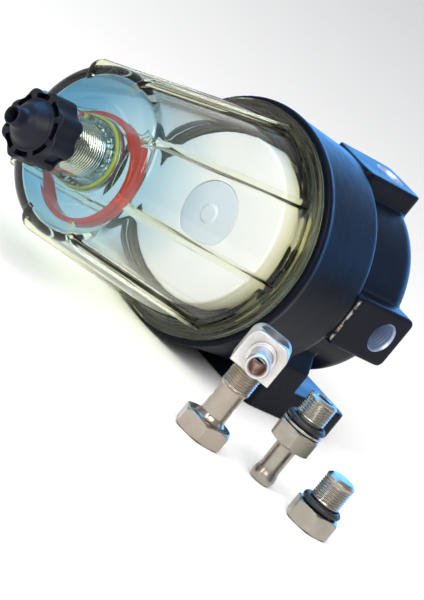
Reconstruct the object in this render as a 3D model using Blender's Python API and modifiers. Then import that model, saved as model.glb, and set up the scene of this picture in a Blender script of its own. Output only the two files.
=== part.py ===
"""Magnetic system filter with a clear bowl, lying on its mounting foot.

The filter's axis runs along Y, with the drain at the -Y end. The foot stands on Z = 0,
and the origin is the middle of the foot's underside. The loose fittings that belong to
the filter stand beside it on the same surface.

All sizes are in millimetres, and the helper functions turn them into metres. A station
is a place along the filter's axis, counted from the seat between head and bowl:
positive inside the head, negative towards the drain.
"""
import math

import bmesh
import bpy
from mathutils import Matrix, Vector

MM = 0.001
GAP = 0.3

# Driving dimensions.
AXIS_HEIGHT = 58.5
FOOT_STATION = 72.5

RIM_RADIUS = AXIS_HEIGHT
SHOULDER_RADIUS = 54.6
SHOULDER_STATION = 44.0
DOME_RADIUS = 47.0
DOME_ROUNDING = 13.0
HEAD_END = 92.0
MOUTH_RADIUS = 48.0
GROOVE_OUTER, GROOVE_INNER, GROOVE_DEPTH = 52.6, 48.9, 2.8
CAVITY_RADIUS = 45.5
CHAMBER_RADIUS = 42.3
CHAMBER_END = 80.0
OUTLET_BOSS_RADIUS, OUTLET_BOSS_START = 22.0, 66.8
OUTLET_RADIUS = 14.0

PORT_FACE = 55.0
PORT_HALF_WIDTH = 13.4
PORT_START, PORT_END = 45.5, 88.0
PORT_STATION = 74.5
THREAD_RADIUS = 7.0
PORT_DRILL_RADIUS = 6.0

FOOT_HALF_LENGTH = 33.5
FOOT_HALF_WIDTH = 45.0
FOOT_THICKNESS = 14.0
FOOT_HOLE_RADIUS = 3.4
FOOT_HOLE_DEPTH = 11.0
FOOT_HOLES = [(x, y) for x in (-30.0, 30.0) for y in (-20.0, 20.0)]

FLANGE_RADIUS = 56.0
FLANGE_THICKNESS = 4.0
FLANGE_FACE = -2 * GAP
WALL_THICKNESS = 4.4
WALL_RADIUS_MOUTH = 50.0
WALL_RADIUS_END = 39.8
BOWL_ROUNDING = 7.0
BOWL_END = -103.0
SPIGOT_RADIUS = 47.2
SPIGOT_LENGTH = 10.0
BOSS_RADIUS = 15.2
BOSS_END_RADIUS = 14.2
BOSS_END = -121.5
BOWL_SEAL_RADIUS, BOWL_SEAL_SECTION = 50.7, 1.3
RIB_COUNT = 8
RIB_THICKNESS = 3.2
RIB_HEIGHT = 3.2
RIB_FIRST_ANGLE = math.radians(4.0)

STUB_RADIUS = 11.0
STUB_END = -130.0
STUB_BORE = 4.8
INSERT_FLANGE_RADIUS = 16.6
INSERT_SEAL_OUTER, INSERT_SEAL_INNER = 16.4, 14.8
KNOB_RADIUS = 16.6
KNOB_LOBES = 8
KNOB_BACK, KNOB_FRONT = -123.0, -137.0
SPOUT_END = -151.0
SPOUT_RADIUS = 4.2
SPOUT_BORE = 3.2
STEM_BORE = 1.9

FLOAT_INNER, FLOAT_OUTER = 23.0, 25.2

CAGE_RADIUS = 40.0
CAGE_START, CAGE_END = -10.0, 64.0
SLEEVE_RADIUS = 13.0
ROD_RADIUS = 3.0
MAGNET_COUNT = 5
MAGNET_LENGTH = 8.0
POLE_LENGTH = 2.0
STACK_RADIUS = 11.3

# The loose fittings: each one's place as (x, station), and its hexagon's size across
# flats and turn in degrees.
BOLT_PLACE, BOLT_HEXAGON, BOLT_TURN = (107.0, -53.5), 22.0, -15.0
ADAPTER_PLACE, ADAPTER_HEXAGON, ADAPTER_TURN = (127.5, -26.5), 19.0, -21.0
PLUG_PLACE, PLUG_HEXAGON, PLUG_TURN = (156.0, -19.5), 20.0, -13.0
BOLT_HOLE_RADIUS = 2.2
BOLT_HOLE_DIRECTION = Vector((0.78, 0.625, 0.0)).normalized()
FITTING_SEAL_RADIUS, FITTING_SEAL_SECTION = 8.1, 1.5
BANJO_HEIGHT = 45.5
BANJO_TAIL_DIRECTION = Vector((0.653, -0.758, 0.0)).normalized()

FINE, MEDIUM, COARSE = 48, 32, 16

# Local Z of a piece turned about the filter's axis points along world +Y.
ALONG_AXIS = Vector((0.0, 1.0, 0.0))
UP = Vector((0.0, 0.0, 1.0))


def start_scene():
    for item in list(bpy.data.objects):
        bpy.data.objects.remove(item, do_unlink=True)
    folders = []
    for name in ("magnetic_system_filter", "cutters"):
        folder = bpy.data.collections.new(name)
        bpy.context.scene.collection.children.link(folder)
        folders.append(folder)
    return folders


PARTS, CUTTERS = start_scene()


def make_material(name, colour, roughness, metallic=0.0, alpha=1.0):
    made = bpy.data.materials.new(name)
    made.use_nodes = True
    shader = made.node_tree.nodes["Principled BSDF"]
    shader.inputs["Base Color"].default_value = (*colour, 1.0)
    shader.inputs["Roughness"].default_value = roughness
    shader.inputs["Metallic"].default_value = metallic
    shader.inputs["Alpha"].default_value = alpha
    made.diffuse_color = (*colour, alpha)
    return made


BLACK_PAINT = make_material("black_paint", (0.012, 0.014, 0.022), 0.35)
CLEAR_PLASTIC = make_material("clear_plastic", (0.62, 0.74, 0.74), 0.08, alpha=0.35)
BLACK_PLASTIC = make_material("black_plastic", (0.012, 0.013, 0.02), 0.45)
WHITE_PLASTIC = make_material("white_plastic", (0.82, 0.83, 0.82), 0.4)
HUB_PLASTIC = make_material("hub_plastic", (0.58, 0.66, 0.76), 0.35)
RED_PLASTIC = make_material("red_plastic", (0.7, 0.05, 0.03), 0.2)
RUBBER = make_material("black_rubber", (0.01, 0.01, 0.011), 0.6)
YELLOW_RUBBER = make_material("yellow_rubber", (0.75, 0.52, 0.07), 0.5)
NICKEL = make_material("nickel_plate", (0.62, 0.58, 0.5), 0.25, metallic=1.0)
STEEL = make_material("stainless_steel", (0.6, 0.6, 0.6), 0.3, metallic=1.0)
BRASS = make_material("brass", (0.72, 0.5, 0.22), 0.3, metallic=1.0)
COPPER = make_material("copper_bore_nickel", (0.7, 0.45, 0.3), 0.3, metallic=1.0)
MAGNET = make_material("magnet_ferrite", (0.16, 0.16, 0.17), 0.4, metallic=0.6)


def on_axis(station, x=0.0, z=0.0):
    """World place, in millimetres, of a point at a station of the filter's axis."""
    return Vector((x, station - FOOT_STATION, AXIS_HEIGHT + z))


def turn_z_to(direction):
    return Vector(direction).to_track_quat("Z", "Y").to_matrix().to_4x4()


def add_object(name, mesh, place=Vector(), direction=UP, material=None):
    """Puts a mesh in the scene; without a material it is a cutter or a guide."""
    item = bpy.data.objects.new(name, mesh)
    item.matrix_world = Matrix.Translation(Vector(place) * MM) @ turn_z_to(direction)
    if material:
        mesh.materials.clear()
        mesh.materials.append(material)
        PARTS.objects.link(item)
    else:
        CUTTERS.objects.link(item)
        item.hide_render = True
        item.display_type = "WIRE"
    return item


def mesh_from_bmesh(name, build):
    mesh = bpy.data.meshes.new(name)
    work = bmesh.new()
    build(work)
    work.to_mesh(mesh)
    work.free()
    return mesh


def turned(name, outline, steps, place=Vector(), direction=UP, material=None, ring=False):
    """Revolves an outline of (radius, height) points about local Z.

    The outline runs down the outer side. A ring's outline goes back up its inner side
    and closes, and a solid's starts and ends on the axis. A cutter is turned on by half
    a step, so that its corners don't meet those of the piece that it cuts.
    """
    mesh = bpy.data.meshes.new(name)
    points = [(radius * MM, 0.0, height * MM) for radius, height in outline]
    edges = [(i, i + 1) for i in range(len(points) - 1)]
    if ring:
        edges.append((len(points) - 1, 0))
    mesh.from_pydata(points, edges, [])
    item = add_object(name, mesh, place, direction, material)
    screw = item.modifiers.new("turn", "SCREW")
    screw.axis = "Z"
    screw.steps = screw.render_steps = steps
    screw.use_merge_vertices = True
    screw.merge_threshold = 0.00001
    screw.use_smooth_shade = True
    if not material:
        item.matrix_world = item.matrix_world @ Matrix.Rotation(math.pi / steps, 4, "Z")
    return item


def on_main_axis(name, outline, steps, material=None, ring=True):
    """A turned piece whose outline heights are stations of the filter's axis."""
    return turned(name, outline, steps, on_axis(0.0), ALONG_AXIS, material, ring)


def rectangle(outer, inner, low, high):
    """The outline of a plain ring."""
    return [(outer, high), (outer, low), (inner, low), (inner, high)]


def arc(centre, radius, start_deg, end_deg, pieces):
    return [(centre[0] + radius * math.cos(a), centre[1] + radius * math.sin(a))
            for a in (math.radians(start_deg + (end_deg - start_deg) * i / pieces)
                      for i in range(pieces + 1))]


def o_ring(name, middle_radius, section, steps, place, direction, material):
    """A seal ring with a round section, centred on its place."""
    outline = arc((middle_radius, 0.0), section, 90, -210, 5)
    return turned(name, outline, steps, place, direction, material, ring=True)


def box(name, low, high, material=None):
    """A box between two corners, given in world millimetres."""
    low, high = Vector(low), Vector(high)
    size = (high - low) * MM

    def build(work):
        bmesh.ops.create_cube(work, size=1.0, matrix=Matrix.Diagonal((*size, 1.0)))
    return add_object(name, mesh_from_bmesh(name, build), (low + high) / 2, UP, material)


def rod(name, radius, length, place, direction, sides, material=None):
    """A cylinder, or with six sides a hexagon bar, that starts at its place."""
    def build(work):
        bmesh.ops.create_cone(
            work, cap_ends=True, segments=sides, radius1=radius * MM, radius2=radius * MM,
            depth=length * MM, matrix=Matrix.Translation((0, 0, length * MM / 2)))
    return add_object(name, mesh_from_bmesh(name, build), place, direction, material)


def plate(name, outline, thickness, matrix, material=None):
    """A flat outline with a thickness, as a mesh that can be cut or joined."""
    curve = bpy.data.curves.new(name, "CURVE")
    curve.dimensions = "2D"
    curve.fill_mode = "BOTH"
    curve.extrude = thickness * MM / 2
    spline = curve.splines.new("POLY")
    spline.points.add(len(outline) - 1)
    for point, (x, y) in zip(spline.points, outline):
        point.co = (x * MM, y * MM, 0.0, 1.0)
    spline.use_cyclic_u = True
    guide = bpy.data.objects.new(name + "_outline", curve)
    guide.matrix_world = matrix
    CUTTERS.objects.link(guide)
    bpy.context.view_layer.update()
    mesh = bpy.data.meshes.new_from_object(
        guide.evaluated_get(bpy.context.evaluated_depsgraph_get()))
    weld = bmesh.new()
    weld.from_mesh(mesh)
    bmesh.ops.remove_doubles(weld, verts=weld.verts, dist=0.00001)
    weld.to_mesh(mesh)
    weld.free()
    item = add_object(name, mesh, material=material)
    item.matrix_world = guide.matrix_world
    bpy.data.objects.remove(guide, do_unlink=True)
    return item


def rounded_rectangle(half_x, half_y, radii, pieces=3):
    """Corner radii run from the (+x, +y) corner anticlockwise."""
    points = []
    signs = ((1, 1), (-1, 1), (-1, -1), (1, -1))
    for corner, ((sign_x, sign_y), radius) in enumerate(zip(signs, radii)):
        centre = (sign_x * (half_x - radius), sign_y * (half_y - radius))
        if radius:
            points += arc(centre, radius, 90 * corner, 90 * corner + 90, pieces)
        else:
            points.append(centre)
    return points


def combine(item, other, operation):
    change = item.modifiers.new(operation.lower(), "BOOLEAN")
    change.operation = operation
    change.solver = "EXACT"
    change.object = other


def join(item, *others):
    for other in others:
        combine(item, other, "UNION")


def cut(item, *others):
    for other in others:
        combine(item, other, "DIFFERENCE")


# The head: a round casting with three port bosses, a foot and an inner outlet passage.

def port_boss(name, direction):
    """A square boss that reaches from inside the dome out to its port face."""
    inner = DOME_RADIUS - 8.0
    middle = (PORT_START + PORT_END) / 2
    centre = on_axis(middle) + direction * (inner + PORT_FACE) / 2
    outline = rounded_rectangle(PORT_HALF_WIDTH, (PORT_END - PORT_START) / 2, [4.0] * 4)
    across = ALONG_AXIS.cross(direction)
    turn = Matrix((across, ALONG_AXIS, direction)).transposed().to_4x4()
    matrix = Matrix.Translation(centre * MM) @ turn
    return plate(name, outline, PORT_FACE - inner, matrix)


def port_cutters(name, direction, depth):
    mouth = on_axis(PORT_STATION) + direction * PORT_FACE
    lip = THREAD_RADIUS + 0.7
    outline = [(0.0, 2.0), (lip, 2.0), (lip, 0.0), (THREAD_RADIUS, -0.9),
               (THREAD_RADIUS, -13.5), (PORT_DRILL_RADIUS, -14.5),
               (PORT_DRILL_RADIUS, -depth), (0.0, -depth)]
    return turned(name, outline, COARSE, mouth, direction)


def head_casting():
    outline = [(0.0, HEAD_END)]
    outline += arc((DOME_RADIUS - DOME_ROUNDING, HEAD_END - DOME_ROUNDING),
                   DOME_ROUNDING, 90, 0, 5)
    outline += [(DOME_RADIUS, SHOULDER_STATION + 4.0), (49.0, SHOULDER_STATION + 2.0),
                (SHOULDER_RADIUS - 1.5, SHOULDER_STATION + 1.2),
                (SHOULDER_RADIUS, SHOULDER_STATION), (RIM_RADIUS - 0.9, 4.0),
                (RIM_RADIUS, 3.0), (RIM_RADIUS, 0.0), (0.0, 0.0)]
    head = on_main_axis("head_casting", outline, FINE, BLACK_PAINT, ring=False)

    ports = {"near": Vector((1, 0, 0)), "far": Vector((-1, 0, 0)), "top": UP}
    for side, direction in ports.items():
        join(head, port_boss(f"{side}_port_boss", direction))
    foot = plate("foot_slab",
                 rounded_rectangle(FOOT_HALF_WIDTH, FOOT_HALF_LENGTH, [4.0] * 4),
                 FOOT_THICKNESS, Matrix.Translation((0, 0, FOOT_THICKNESS * MM / 2)))
    join(head, foot)
    join(head, foot_neck())

    mouth = [(0.0, CHAMBER_END), (CHAMBER_RADIUS, CHAMBER_END),
             (CHAMBER_RADIUS, SHOULDER_STATION), (CAVITY_RADIUS, SHOULDER_STATION - 3.0),
             (CAVITY_RADIUS, 12.8), (MOUTH_RADIUS, 12.0), (MOUTH_RADIUS, -2.0), (0.0, -2.0)]
    cut(head, on_main_axis("cavity", mouth, FINE, ring=False))
    groove = rectangle(GROOVE_OUTER, GROOVE_INNER, -2.0, GROOVE_DEPTH)
    cut(head, on_main_axis("seal_groove", groove, FINE))

    # The outlet boss in the roof, the passage to the near port, and their bores.
    roof = CHAMBER_END + 2.0
    boss = rod("outlet_boss", OUTLET_BOSS_RADIUS, roof - OUTLET_BOSS_START,
               on_axis(OUTLET_BOSS_START), ALONG_AXIS, MEDIUM)
    bridge = box("outlet_bridge", on_axis(67.6, 18.0, -9.0), on_axis(roof - 0.8, 43.5, 9.0))
    join(boss, bridge)
    join(head, boss)
    cut(head, rod("outlet_chamber", OUTLET_RADIUS, CHAMBER_END - 1.0 - 66.0, on_axis(66.0),
                  ALONG_AXIS, MEDIUM))
    cut(head, rod("rod_socket", ROD_RADIUS + GAP, 10.0, on_axis(CHAMBER_END - 3.0),
                  ALONG_AXIS, COARSE))
    depths = {"near": PORT_FACE - 10.0, "far": 20.0, "top": 20.0}
    for side, direction in ports.items():
        cut(head, port_cutters(f"{side}_port_bore", direction, depths[side]))
    for number, (x, y) in enumerate(FOOT_HOLES):
        cut(head, rod(f"foot_hole_{number}", FOOT_HOLE_RADIUS, FOOT_HOLE_DEPTH + 2.0,
                      (x, y, -2.0), UP, COARSE))
    cut(head, vent_cutter())
    return head


def foot_neck():
    """The web between the foot and the round body, narrower towards the body."""
    low, high = 39.0, 64.0
    outline = [(FOOT_HALF_WIDTH, -46.0), (FOOT_HALF_WIDTH, -34.0), (40.0, -24.0),
               (-40.0, -24.0), (-FOOT_HALF_WIDTH, -34.0), (-FOOT_HALF_WIDTH, -46.0)]
    turn = Matrix((Vector((1, 0, 0)), UP, Vector((0, -1, 0)))).transposed().to_4x4()
    return plate("foot_neck", outline, high - low,
                 Matrix.Translation(on_axis((low + high) / 2) * MM) @ turn)


# The vent: a slotted screw with a seal, in the head's closed end.

VENT_OFFSET = 24.0
VENT_RADIUS = 4.0
VENT_LENGTH = 11.0


def vent_cutter():
    outline = [(0.0, 2.0), (8.0, 2.0), (8.0, -1.0), (VENT_RADIUS + GAP, -1.0),
               (VENT_RADIUS + GAP, -16.0), (0.0, -16.0)]
    return turned("vent_bore", outline, COARSE, on_axis(HEAD_END, z=VENT_OFFSET), ALONG_AXIS)


def vent():
    seat = on_axis(HEAD_END - 1.0, z=VENT_OFFSET)
    turned("vent_seal", rectangle(7.4, VENT_RADIUS + GAP, GAP, 1.5), COARSE, seat,
           ALONG_AXIS, RUBBER, ring=True)
    outline = [(0.0, 5.5), (6.0, 5.5), (6.8, 4.8), (6.8, 1.8), (VENT_RADIUS, 1.8),
               (VENT_RADIUS, -VENT_LENGTH), (0.0, -VENT_LENGTH)]
    screw = turned("vent_screw", outline, COARSE, seat, ALONG_AXIS, BRASS)
    slot = box("vent_slot", seat + Vector((-8, 4.0, -0.8)), seat + Vector((8, 8.0, 0.8)))
    cut(screw, slot)


# The bowl: a clear turned shell with outside ribs, a flange and a drain boss.

def bowl():
    centre = (WALL_RADIUS_END - BOWL_ROUNDING, BOWL_END + BOWL_ROUNDING)
    inner_rounding = BOWL_ROUNDING - WALL_THICKNESS
    outer = [(SPIGOT_RADIUS, SPIGOT_LENGTH), (SPIGOT_RADIUS, FLANGE_FACE),
             (FLANGE_RADIUS, FLANGE_FACE), (FLANGE_RADIUS, FLANGE_FACE - FLANGE_THICKNESS),
             (53.6, FLANGE_FACE - FLANGE_THICKNESS), (53.6, -7.0), (51.4, -7.0),
             (51.4, -9.6), (WALL_RADIUS_MOUTH, -10.6)]
    outer += arc(centre, BOWL_ROUNDING, 0, -90, 4)
    outer += [(BOSS_RADIUS + 2.5, BOWL_END), (BOSS_RADIUS, BOWL_END - 2.5),
              (BOSS_END_RADIUS, BOSS_END), (STUB_RADIUS + GAP, BOSS_END)]
    inner = [(STUB_RADIUS + GAP, BOWL_END + WALL_THICKNESS)]
    inner += arc(centre, inner_rounding, -90, 0, 3)
    inner += [(43.8, -8.0), (43.8, SPIGOT_LENGTH)]
    shell = on_main_axis("bowl", outer + inner, FINE, CLEAR_PLASTIC)

    turn_profile = Matrix((Vector((1, 0, 0)), Vector((0, 0, 1)), Vector((0, -1, 0))))
    for number in range(RIB_COUNT):
        spin = Matrix.Rotation(RIB_FIRST_ANGLE + number * math.tau / RIB_COUNT, 4, "Z")
        matrix = (Matrix.Translation(on_axis(0.0) * MM) @ turn_z_to(ALONG_AXIS)
                  @ spin @ turn_profile.transposed().to_4x4())
        join(shell, plate(f"bowl_rib_{number}", rib_outline(), RIB_THICKNESS, matrix))
    return shell


def rib_outline():
    """One rib in its own plane: (radius, station) points round its edge."""
    start, corner = -6.0, BOWL_END + BOWL_ROUNDING
    crest_end = WALL_RADIUS_END + RIB_HEIGHT
    buried = 2.0
    return [(WALL_RADIUS_MOUTH - buried, start), (WALL_RADIUS_MOUTH + 4.2, start),
            (WALL_RADIUS_MOUTH + 3.6, start - 3.0), (crest_end + 0.2, corner),
            (crest_end - 0.8, BOWL_END + 2.2), (crest_end - 3.0, BOWL_END - 1.0),
            (33.0, BOWL_END - 1.0), (33.0, BOWL_END + buried),
            (WALL_RADIUS_END - buried - 2.0, BOWL_END + buried + 0.6),
            (WALL_RADIUS_END - buried, corner)]


# The drain: a threaded insert in the bowl's end, its seal, the knob and its valve stem.

def drain():
    inner_face = BOWL_END + WALL_THICKNESS
    seal = rectangle(INSERT_SEAL_OUTER, INSERT_SEAL_INNER, inner_face + GAP, inner_face + 1.9)
    on_main_axis("insert_seal", seal, MEDIUM, YELLOW_RUBBER)
    flange_low = inner_face + 1.9 + GAP
    flange_high = flange_low + 3.2
    insert = [(INSERT_FLANGE_RADIUS, flange_high), (INSERT_FLANGE_RADIUS, flange_low),
              (STUB_RADIUS, flange_low), (STUB_RADIUS, STUB_END + 1.2),
              (STUB_RADIUS - 1.2, STUB_END), (STUB_BORE, STUB_END), (STUB_BORE, flange_high)]
    on_main_axis("drain_insert", insert, MEDIUM, NICKEL)

    stem = [(0.0, -114.0), (3.4, -114.0), (4.2, -115.0), (4.2, -119.6), (3.0, -119.6),
            (3.0, -121.4), (4.2, -121.4), (4.2, -137.6), (STEM_BORE, -137.6),
            (STEM_BORE, -116.5), (0.0, -116.5)]
    pin = on_main_axis("drain_stem", stem, COARSE, BRASS, ring=False)
    cut(pin, rod("stem_cross_hole", 1.0, 12.0, on_axis(-117.3, -6.0), (1, 0, 0), 12))
    o_ring("stem_o_ring", 3.95, 0.6, COARSE, on_axis(-120.5), ALONG_AXIS, RUBBER)
    drain_knob()


def drain_knob():
    """A lobed hand knob that screws over the insert and ends in a spout."""
    def lobed(radius, valley):
        points = KNOB_LOBES * 8
        return [((radius - valley * (1 - math.cos(KNOB_LOBES * a)) / 2) * math.cos(a),
                 (radius - valley * (1 - math.cos(KNOB_LOBES * a)) / 2) * math.sin(a))
                for a in (math.tau * i / points for i in range(points))]
    middle = (KNOB_BACK + KNOB_FRONT) / 2
    matrix = Matrix.Translation(on_axis(middle) * MM) @ turn_z_to(ALONG_AXIS)
    knob = plate("drain_knob", lobed(KNOB_RADIUS, 2.2), KNOB_BACK - KNOB_FRONT, matrix,
                 BLACK_PLASTIC)
    hub = [(0.0, -130.0), (11.0, -130.0), (11.0, -137.6), (7.6, -142.5),
           (SPOUT_RADIUS + 0.5, -144.5), (SPOUT_RADIUS, SPOUT_END + 0.6),
           (SPOUT_RADIUS - 0.4, SPOUT_END), (0.0, SPOUT_END)]
    join(knob, on_main_axis("knob_hub", hub, COARSE, ring=False))
    pocket = rectangle(14.0, 12.0, KNOB_FRONT - 1.0, -132.0)
    pockets = on_main_axis("knob_pockets", pocket, MEDIUM)
    for number in range(KNOB_LOBES // 2):
        angle = number * math.tau / KNOB_LOBES
        spoke = box(f"knob_spoke_{number}", (-18, -1.3, -4.5), (18, 1.3, 4.5))
        spoke.matrix_world = (Matrix.Translation(on_axis(-134.0) * MM) @ turn_z_to(ALONG_AXIS)
                              @ Matrix.Rotation(angle, 4, "Z"))
        cut(pockets, spoke)
    cut(knob, pockets)
    inside = [(0.0, KNOB_BACK + 2.0), (STUB_RADIUS + GAP, KNOB_BACK + 2.0),
              (STUB_RADIUS + GAP, -131.0), (4.5, -131.0), (4.5, -138.0),
              (SPOUT_BORE, -138.0), (SPOUT_BORE, SPOUT_END - 2.0), (0.0, SPOUT_END - 2.0)]
    cut(knob, on_main_axis("knob_bore", inside, MEDIUM, ring=False))


def bowl_seal_and_float():
    o_ring("bowl_o_ring", BOWL_SEAL_RADIUS, BOWL_SEAL_SECTION, FINE, on_axis(1.05), ALONG_AXIS,
           RUBBER)
    drop = FLOAT_INNER - INSERT_FLANGE_RADIUS - 2 * GAP
    turned("float_ring", rectangle(FLOAT_OUTER, FLOAT_INNER, -92.4, -84.4), MEDIUM,
           on_axis(0.0, z=-drop), ALONG_AXIS, RED_PLASTIC, ring=True)


# The cartridge: a white cage round a strainer mesh, on the magnet core.

def cartridge():
    outline = [(CAGE_RADIUS, CAGE_END), (CAGE_RADIUS, CAGE_START), (16.0, CAGE_START),
               (16.0, CAGE_START + 2.5), (SLEEVE_RADIUS + 0.5, CAGE_START + 2.5),
               (SLEEVE_RADIUS + 0.5, CAGE_START + 5.0), (CAGE_RADIUS - 2.0, CAGE_START + 5.0),
               (CAGE_RADIUS - 2.0, CAGE_END - 3.5), (15.5, CAGE_END - 3.5), (15.5, CAGE_END)]
    cage = on_main_axis("cartridge_cage", outline, MEDIUM, WHITE_PLASTIC)
    for number in range(3):
        window = box(f"cage_window_{number}", (-50, -27.0, -14), (50, 27.0, 14))
        window.matrix_world = (Matrix.Translation(on_axis(30.0) * MM)
                               @ Matrix.Rotation(number * math.pi / 3, 4, "Y"))
        cut(cage, window)
    mesh_outer = CAGE_RADIUS - 2.0 - GAP
    mesh = rectangle(mesh_outer, mesh_outer - 0.7, CAGE_START + 5.0 + GAP, CAGE_END - 3.5 - GAP)
    on_main_axis("strainer_mesh", mesh, MEDIUM, STEEL)
    on_main_axis("cartridge_seal", rectangle(21.0, 17.0, CAGE_END + GAP, 66.5), MEDIUM, RUBBER)


def magnet_core():
    on_main_axis("magnet_rod", [(0.0, 86.5), (ROD_RADIUS, 86.5), (ROD_RADIUS, -8.6), (0.0, -8.6)],
                 COARSE, STEEL, ring=False)
    hole = ROD_RADIUS + GAP
    sleeve = [(SLEEVE_RADIUS, 58.0), (SLEEVE_RADIUS, -4.0), (hole, -4.0), (hole, -1.6),
              (SLEEVE_RADIUS - 1.3, -1.6), (SLEEVE_RADIUS - 1.3, 58.0)]
    on_main_axis("magnet_sleeve", sleeve, MEDIUM, STEEL)
    cap = [(SLEEVE_RADIUS, 61.3), (SLEEVE_RADIUS, 58.3), (SLEEVE_RADIUS - 1.6, 58.3),
           (SLEEVE_RADIUS - 1.6, 56.0), (hole, 56.0), (hole, 61.3)]
    on_main_axis("sleeve_cap", cap, MEDIUM, BLACK_PLASTIC)

    start = -1.6 + GAP
    for number in range(MAGNET_COUNT + 1):
        pole = rectangle(STACK_RADIUS, hole, start, start + POLE_LENGTH)
        on_main_axis(f"pole_disc_{number + 1}", pole, COARSE, STEEL)
        start += POLE_LENGTH + GAP
        if number < MAGNET_COUNT:
            magnet = rectangle(STACK_RADIUS, hole, start, start + MAGNET_LENGTH)
            on_main_axis(f"ring_magnet_{number + 1}", magnet, COARSE, MAGNET)
            start += MAGNET_LENGTH + GAP

    nut = [(0.0, -9.0), (hole, -9.0), (hole, -4.3), (SLEEVE_RADIUS, -4.3), (SLEEVE_RADIUS, -7.7),
           (15.6, -7.7), (15.6, -9.3), (15.0, -9.8), (4.2, -9.8), (4.0, -10.4), (0.0, -10.4)]
    on_main_axis("cartridge_nut", nut, MEDIUM, HUB_PLASTIC, ring=False)


# The loose fittings, which stand upright on the same surface as the foot.

def floor_place(place, height=0.0):
    return Vector((place[0], place[1] - FOOT_STATION, height))


def hexagon_bar(name, across_flats, turn, place, low, high):
    bar = rod(name, across_flats / math.sqrt(3), high - low, place + UP * low, UP, 6)
    bar.matrix_world = bar.matrix_world @ Matrix.Rotation(math.radians(turn), 4, "Z")
    return bar


def hexagon_head(item, name, across_flats, turn, place, low, high):
    """Joins a hexagon head with chamfered corners to a turned fitting."""
    corner = across_flats / math.sqrt(3)
    bar = hexagon_bar(name, across_flats, turn, place, low, high)
    chamfer = [(0.0, high + 1.0), (across_flats / 2 - 0.6, high + 1.0),
               (across_flats / 2 - 0.6, high + 0.5), (corner + 0.3, high - 0.9),
               (corner + 0.3, low + 0.9),
               (across_flats / 2 - 0.6, low - 0.5), (0.0, low - 0.5)]
    combine(bar, turned(name + "_chamfer", chamfer, COARSE, place), "INTERSECT")
    join(item, bar)


def banjo_bolt():
    place = floor_place(BOLT_PLACE)
    outline = [(THREAD_RADIUS - 1.0, 42.0), (THREAD_RADIUS, 41.0), (THREAD_RADIUS, 27.0),
               (6.1, 26.0), (6.1, 5.0), (0.0, 5.0), (0.0, 12.0), (3.5, 12.0), (3.5, 42.0)]
    bolt = turned("banjo_bolt", outline, COARSE, place, UP, NICKEL, ring=True)
    hexagon_head(bolt, "bolt_hexagon", BOLT_HEXAGON, BOLT_TURN, place, 0.0, 9.0)
    start = place + UP * 18.0 - BOLT_HOLE_DIRECTION * 10.0
    cut(bolt, rod("bolt_cross_hole", BOLT_HOLE_RADIUS, 20.0, start, BOLT_HOLE_DIRECTION, 12))
    return place


def banjo_block(place):
    """The eye block: its front carries the hose tail, and its upper corners are round."""
    half_width, half_height, half_depth = 10.0, 9.0, 9.8
    centre = place + UP * BANJO_HEIGHT
    across = UP.cross(BANJO_TAIL_DIRECTION)
    turn = Matrix((across, UP, BANJO_TAIL_DIRECTION)).transposed().to_4x4()
    outline = rounded_rectangle(half_width, half_height, [5.5, 5.5, 0.0, 0.0], pieces=5)
    block = plate("banjo_block", outline, 2 * half_depth, Matrix.Translation(centre * MM) @ turn,
                  NICKEL)
    cut(block, rod("eye_bore", THREAD_RADIUS + GAP, 30.0, centre - UP * 15.0, UP, MEDIUM))
    front = centre + BANJO_TAIL_DIRECTION * half_depth
    recess = [(0.0, 2.0), (7.6, 2.0), (7.6, -0.5), (4.6 + GAP, -0.5), (4.6 + GAP, -6.0), (0.0, -6.0)]
    cut(block, turned("tail_socket", recess, COARSE, front, BANJO_TAIL_DIRECTION))
    tail = [(5.0, 22.0), (5.6, 20.5), (5.6, 19.0), (4.9, 17.0), (4.9, 2.4), (6.6, 2.4),
            (6.6, -0.5 + GAP), (4.6, -0.5 + GAP), (4.6, -2.2), (3.75, -2.2), (3.75, 22.0)]
    turned("banjo_hose_tail", tail, COARSE, front, BANJO_TAIL_DIRECTION, COPPER, ring=True)


def hose_adapter():
    place = floor_place(ADAPTER_PLACE)
    outline = [(THREAD_RADIUS - 1.0, 45.0), (THREAD_RADIUS, 44.0), (THREAD_RADIUS, 35.0),
               (6.2, 34.4), (6.2, 25.0), (5.0, 18.0), (4.8, 6.0), (5.75, 3.4), (5.75, 1.8),
               (5.0, 0.0), (3.5, 0.0), (3.5, 45.0)]
    body = turned("adapter_body", outline, COARSE, place, UP, NICKEL, ring=True)
    hexagon = hexagon_bar("adapter_hexagon", ADAPTER_HEXAGON, ADAPTER_TURN, place, 20.0, 29.0)
    cut(hexagon, rod("adapter_hexagon_bore", 4.2, 12.0, place + UP * 18.0, UP, COARSE))
    join(body, hexagon)
    turned("adapter_washer", rectangle(9.6, 7.2 + GAP, 29.0 + GAP, 30.4), COARSE, place, UP,
           STEEL, ring=True)
    o_ring("adapter_o_ring", FITTING_SEAL_RADIUS, FITTING_SEAL_SECTION, COARSE,
           place + UP * 32.3, UP, RUBBER)


def blanking_plug():
    place = floor_place(PLUG_PLACE)
    outline = [(0.0, 26.0), (THREAD_RADIUS - 1.2, 26.0), (THREAD_RADIUS, 24.8),
               (THREAD_RADIUS, 13.5), (6.2, 13.0), (6.2, 5.0), (0.0, 5.0)]
    plug = turned("plug_body", outline, COARSE, place, UP, NICKEL)
    hexagon_head(plug, "plug_hexagon", PLUG_HEXAGON, PLUG_TURN, place, 0.0, 9.5)
    o_ring("plug_o_ring", FITTING_SEAL_RADIUS, FITTING_SEAL_SECTION, COARSE,
           place + UP * (9.5 + GAP + FITTING_SEAL_SECTION), UP, RUBBER)


head_casting()
vent()
bowl()
bowl_seal_and_float()
drain()
cartridge()
magnet_core()
banjo_block(banjo_bolt())
hose_adapter()
blanking_plug()
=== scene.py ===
# Magnetic system filter with a clear bowl, and its loose pipe fittings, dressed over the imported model.
import math

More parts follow.
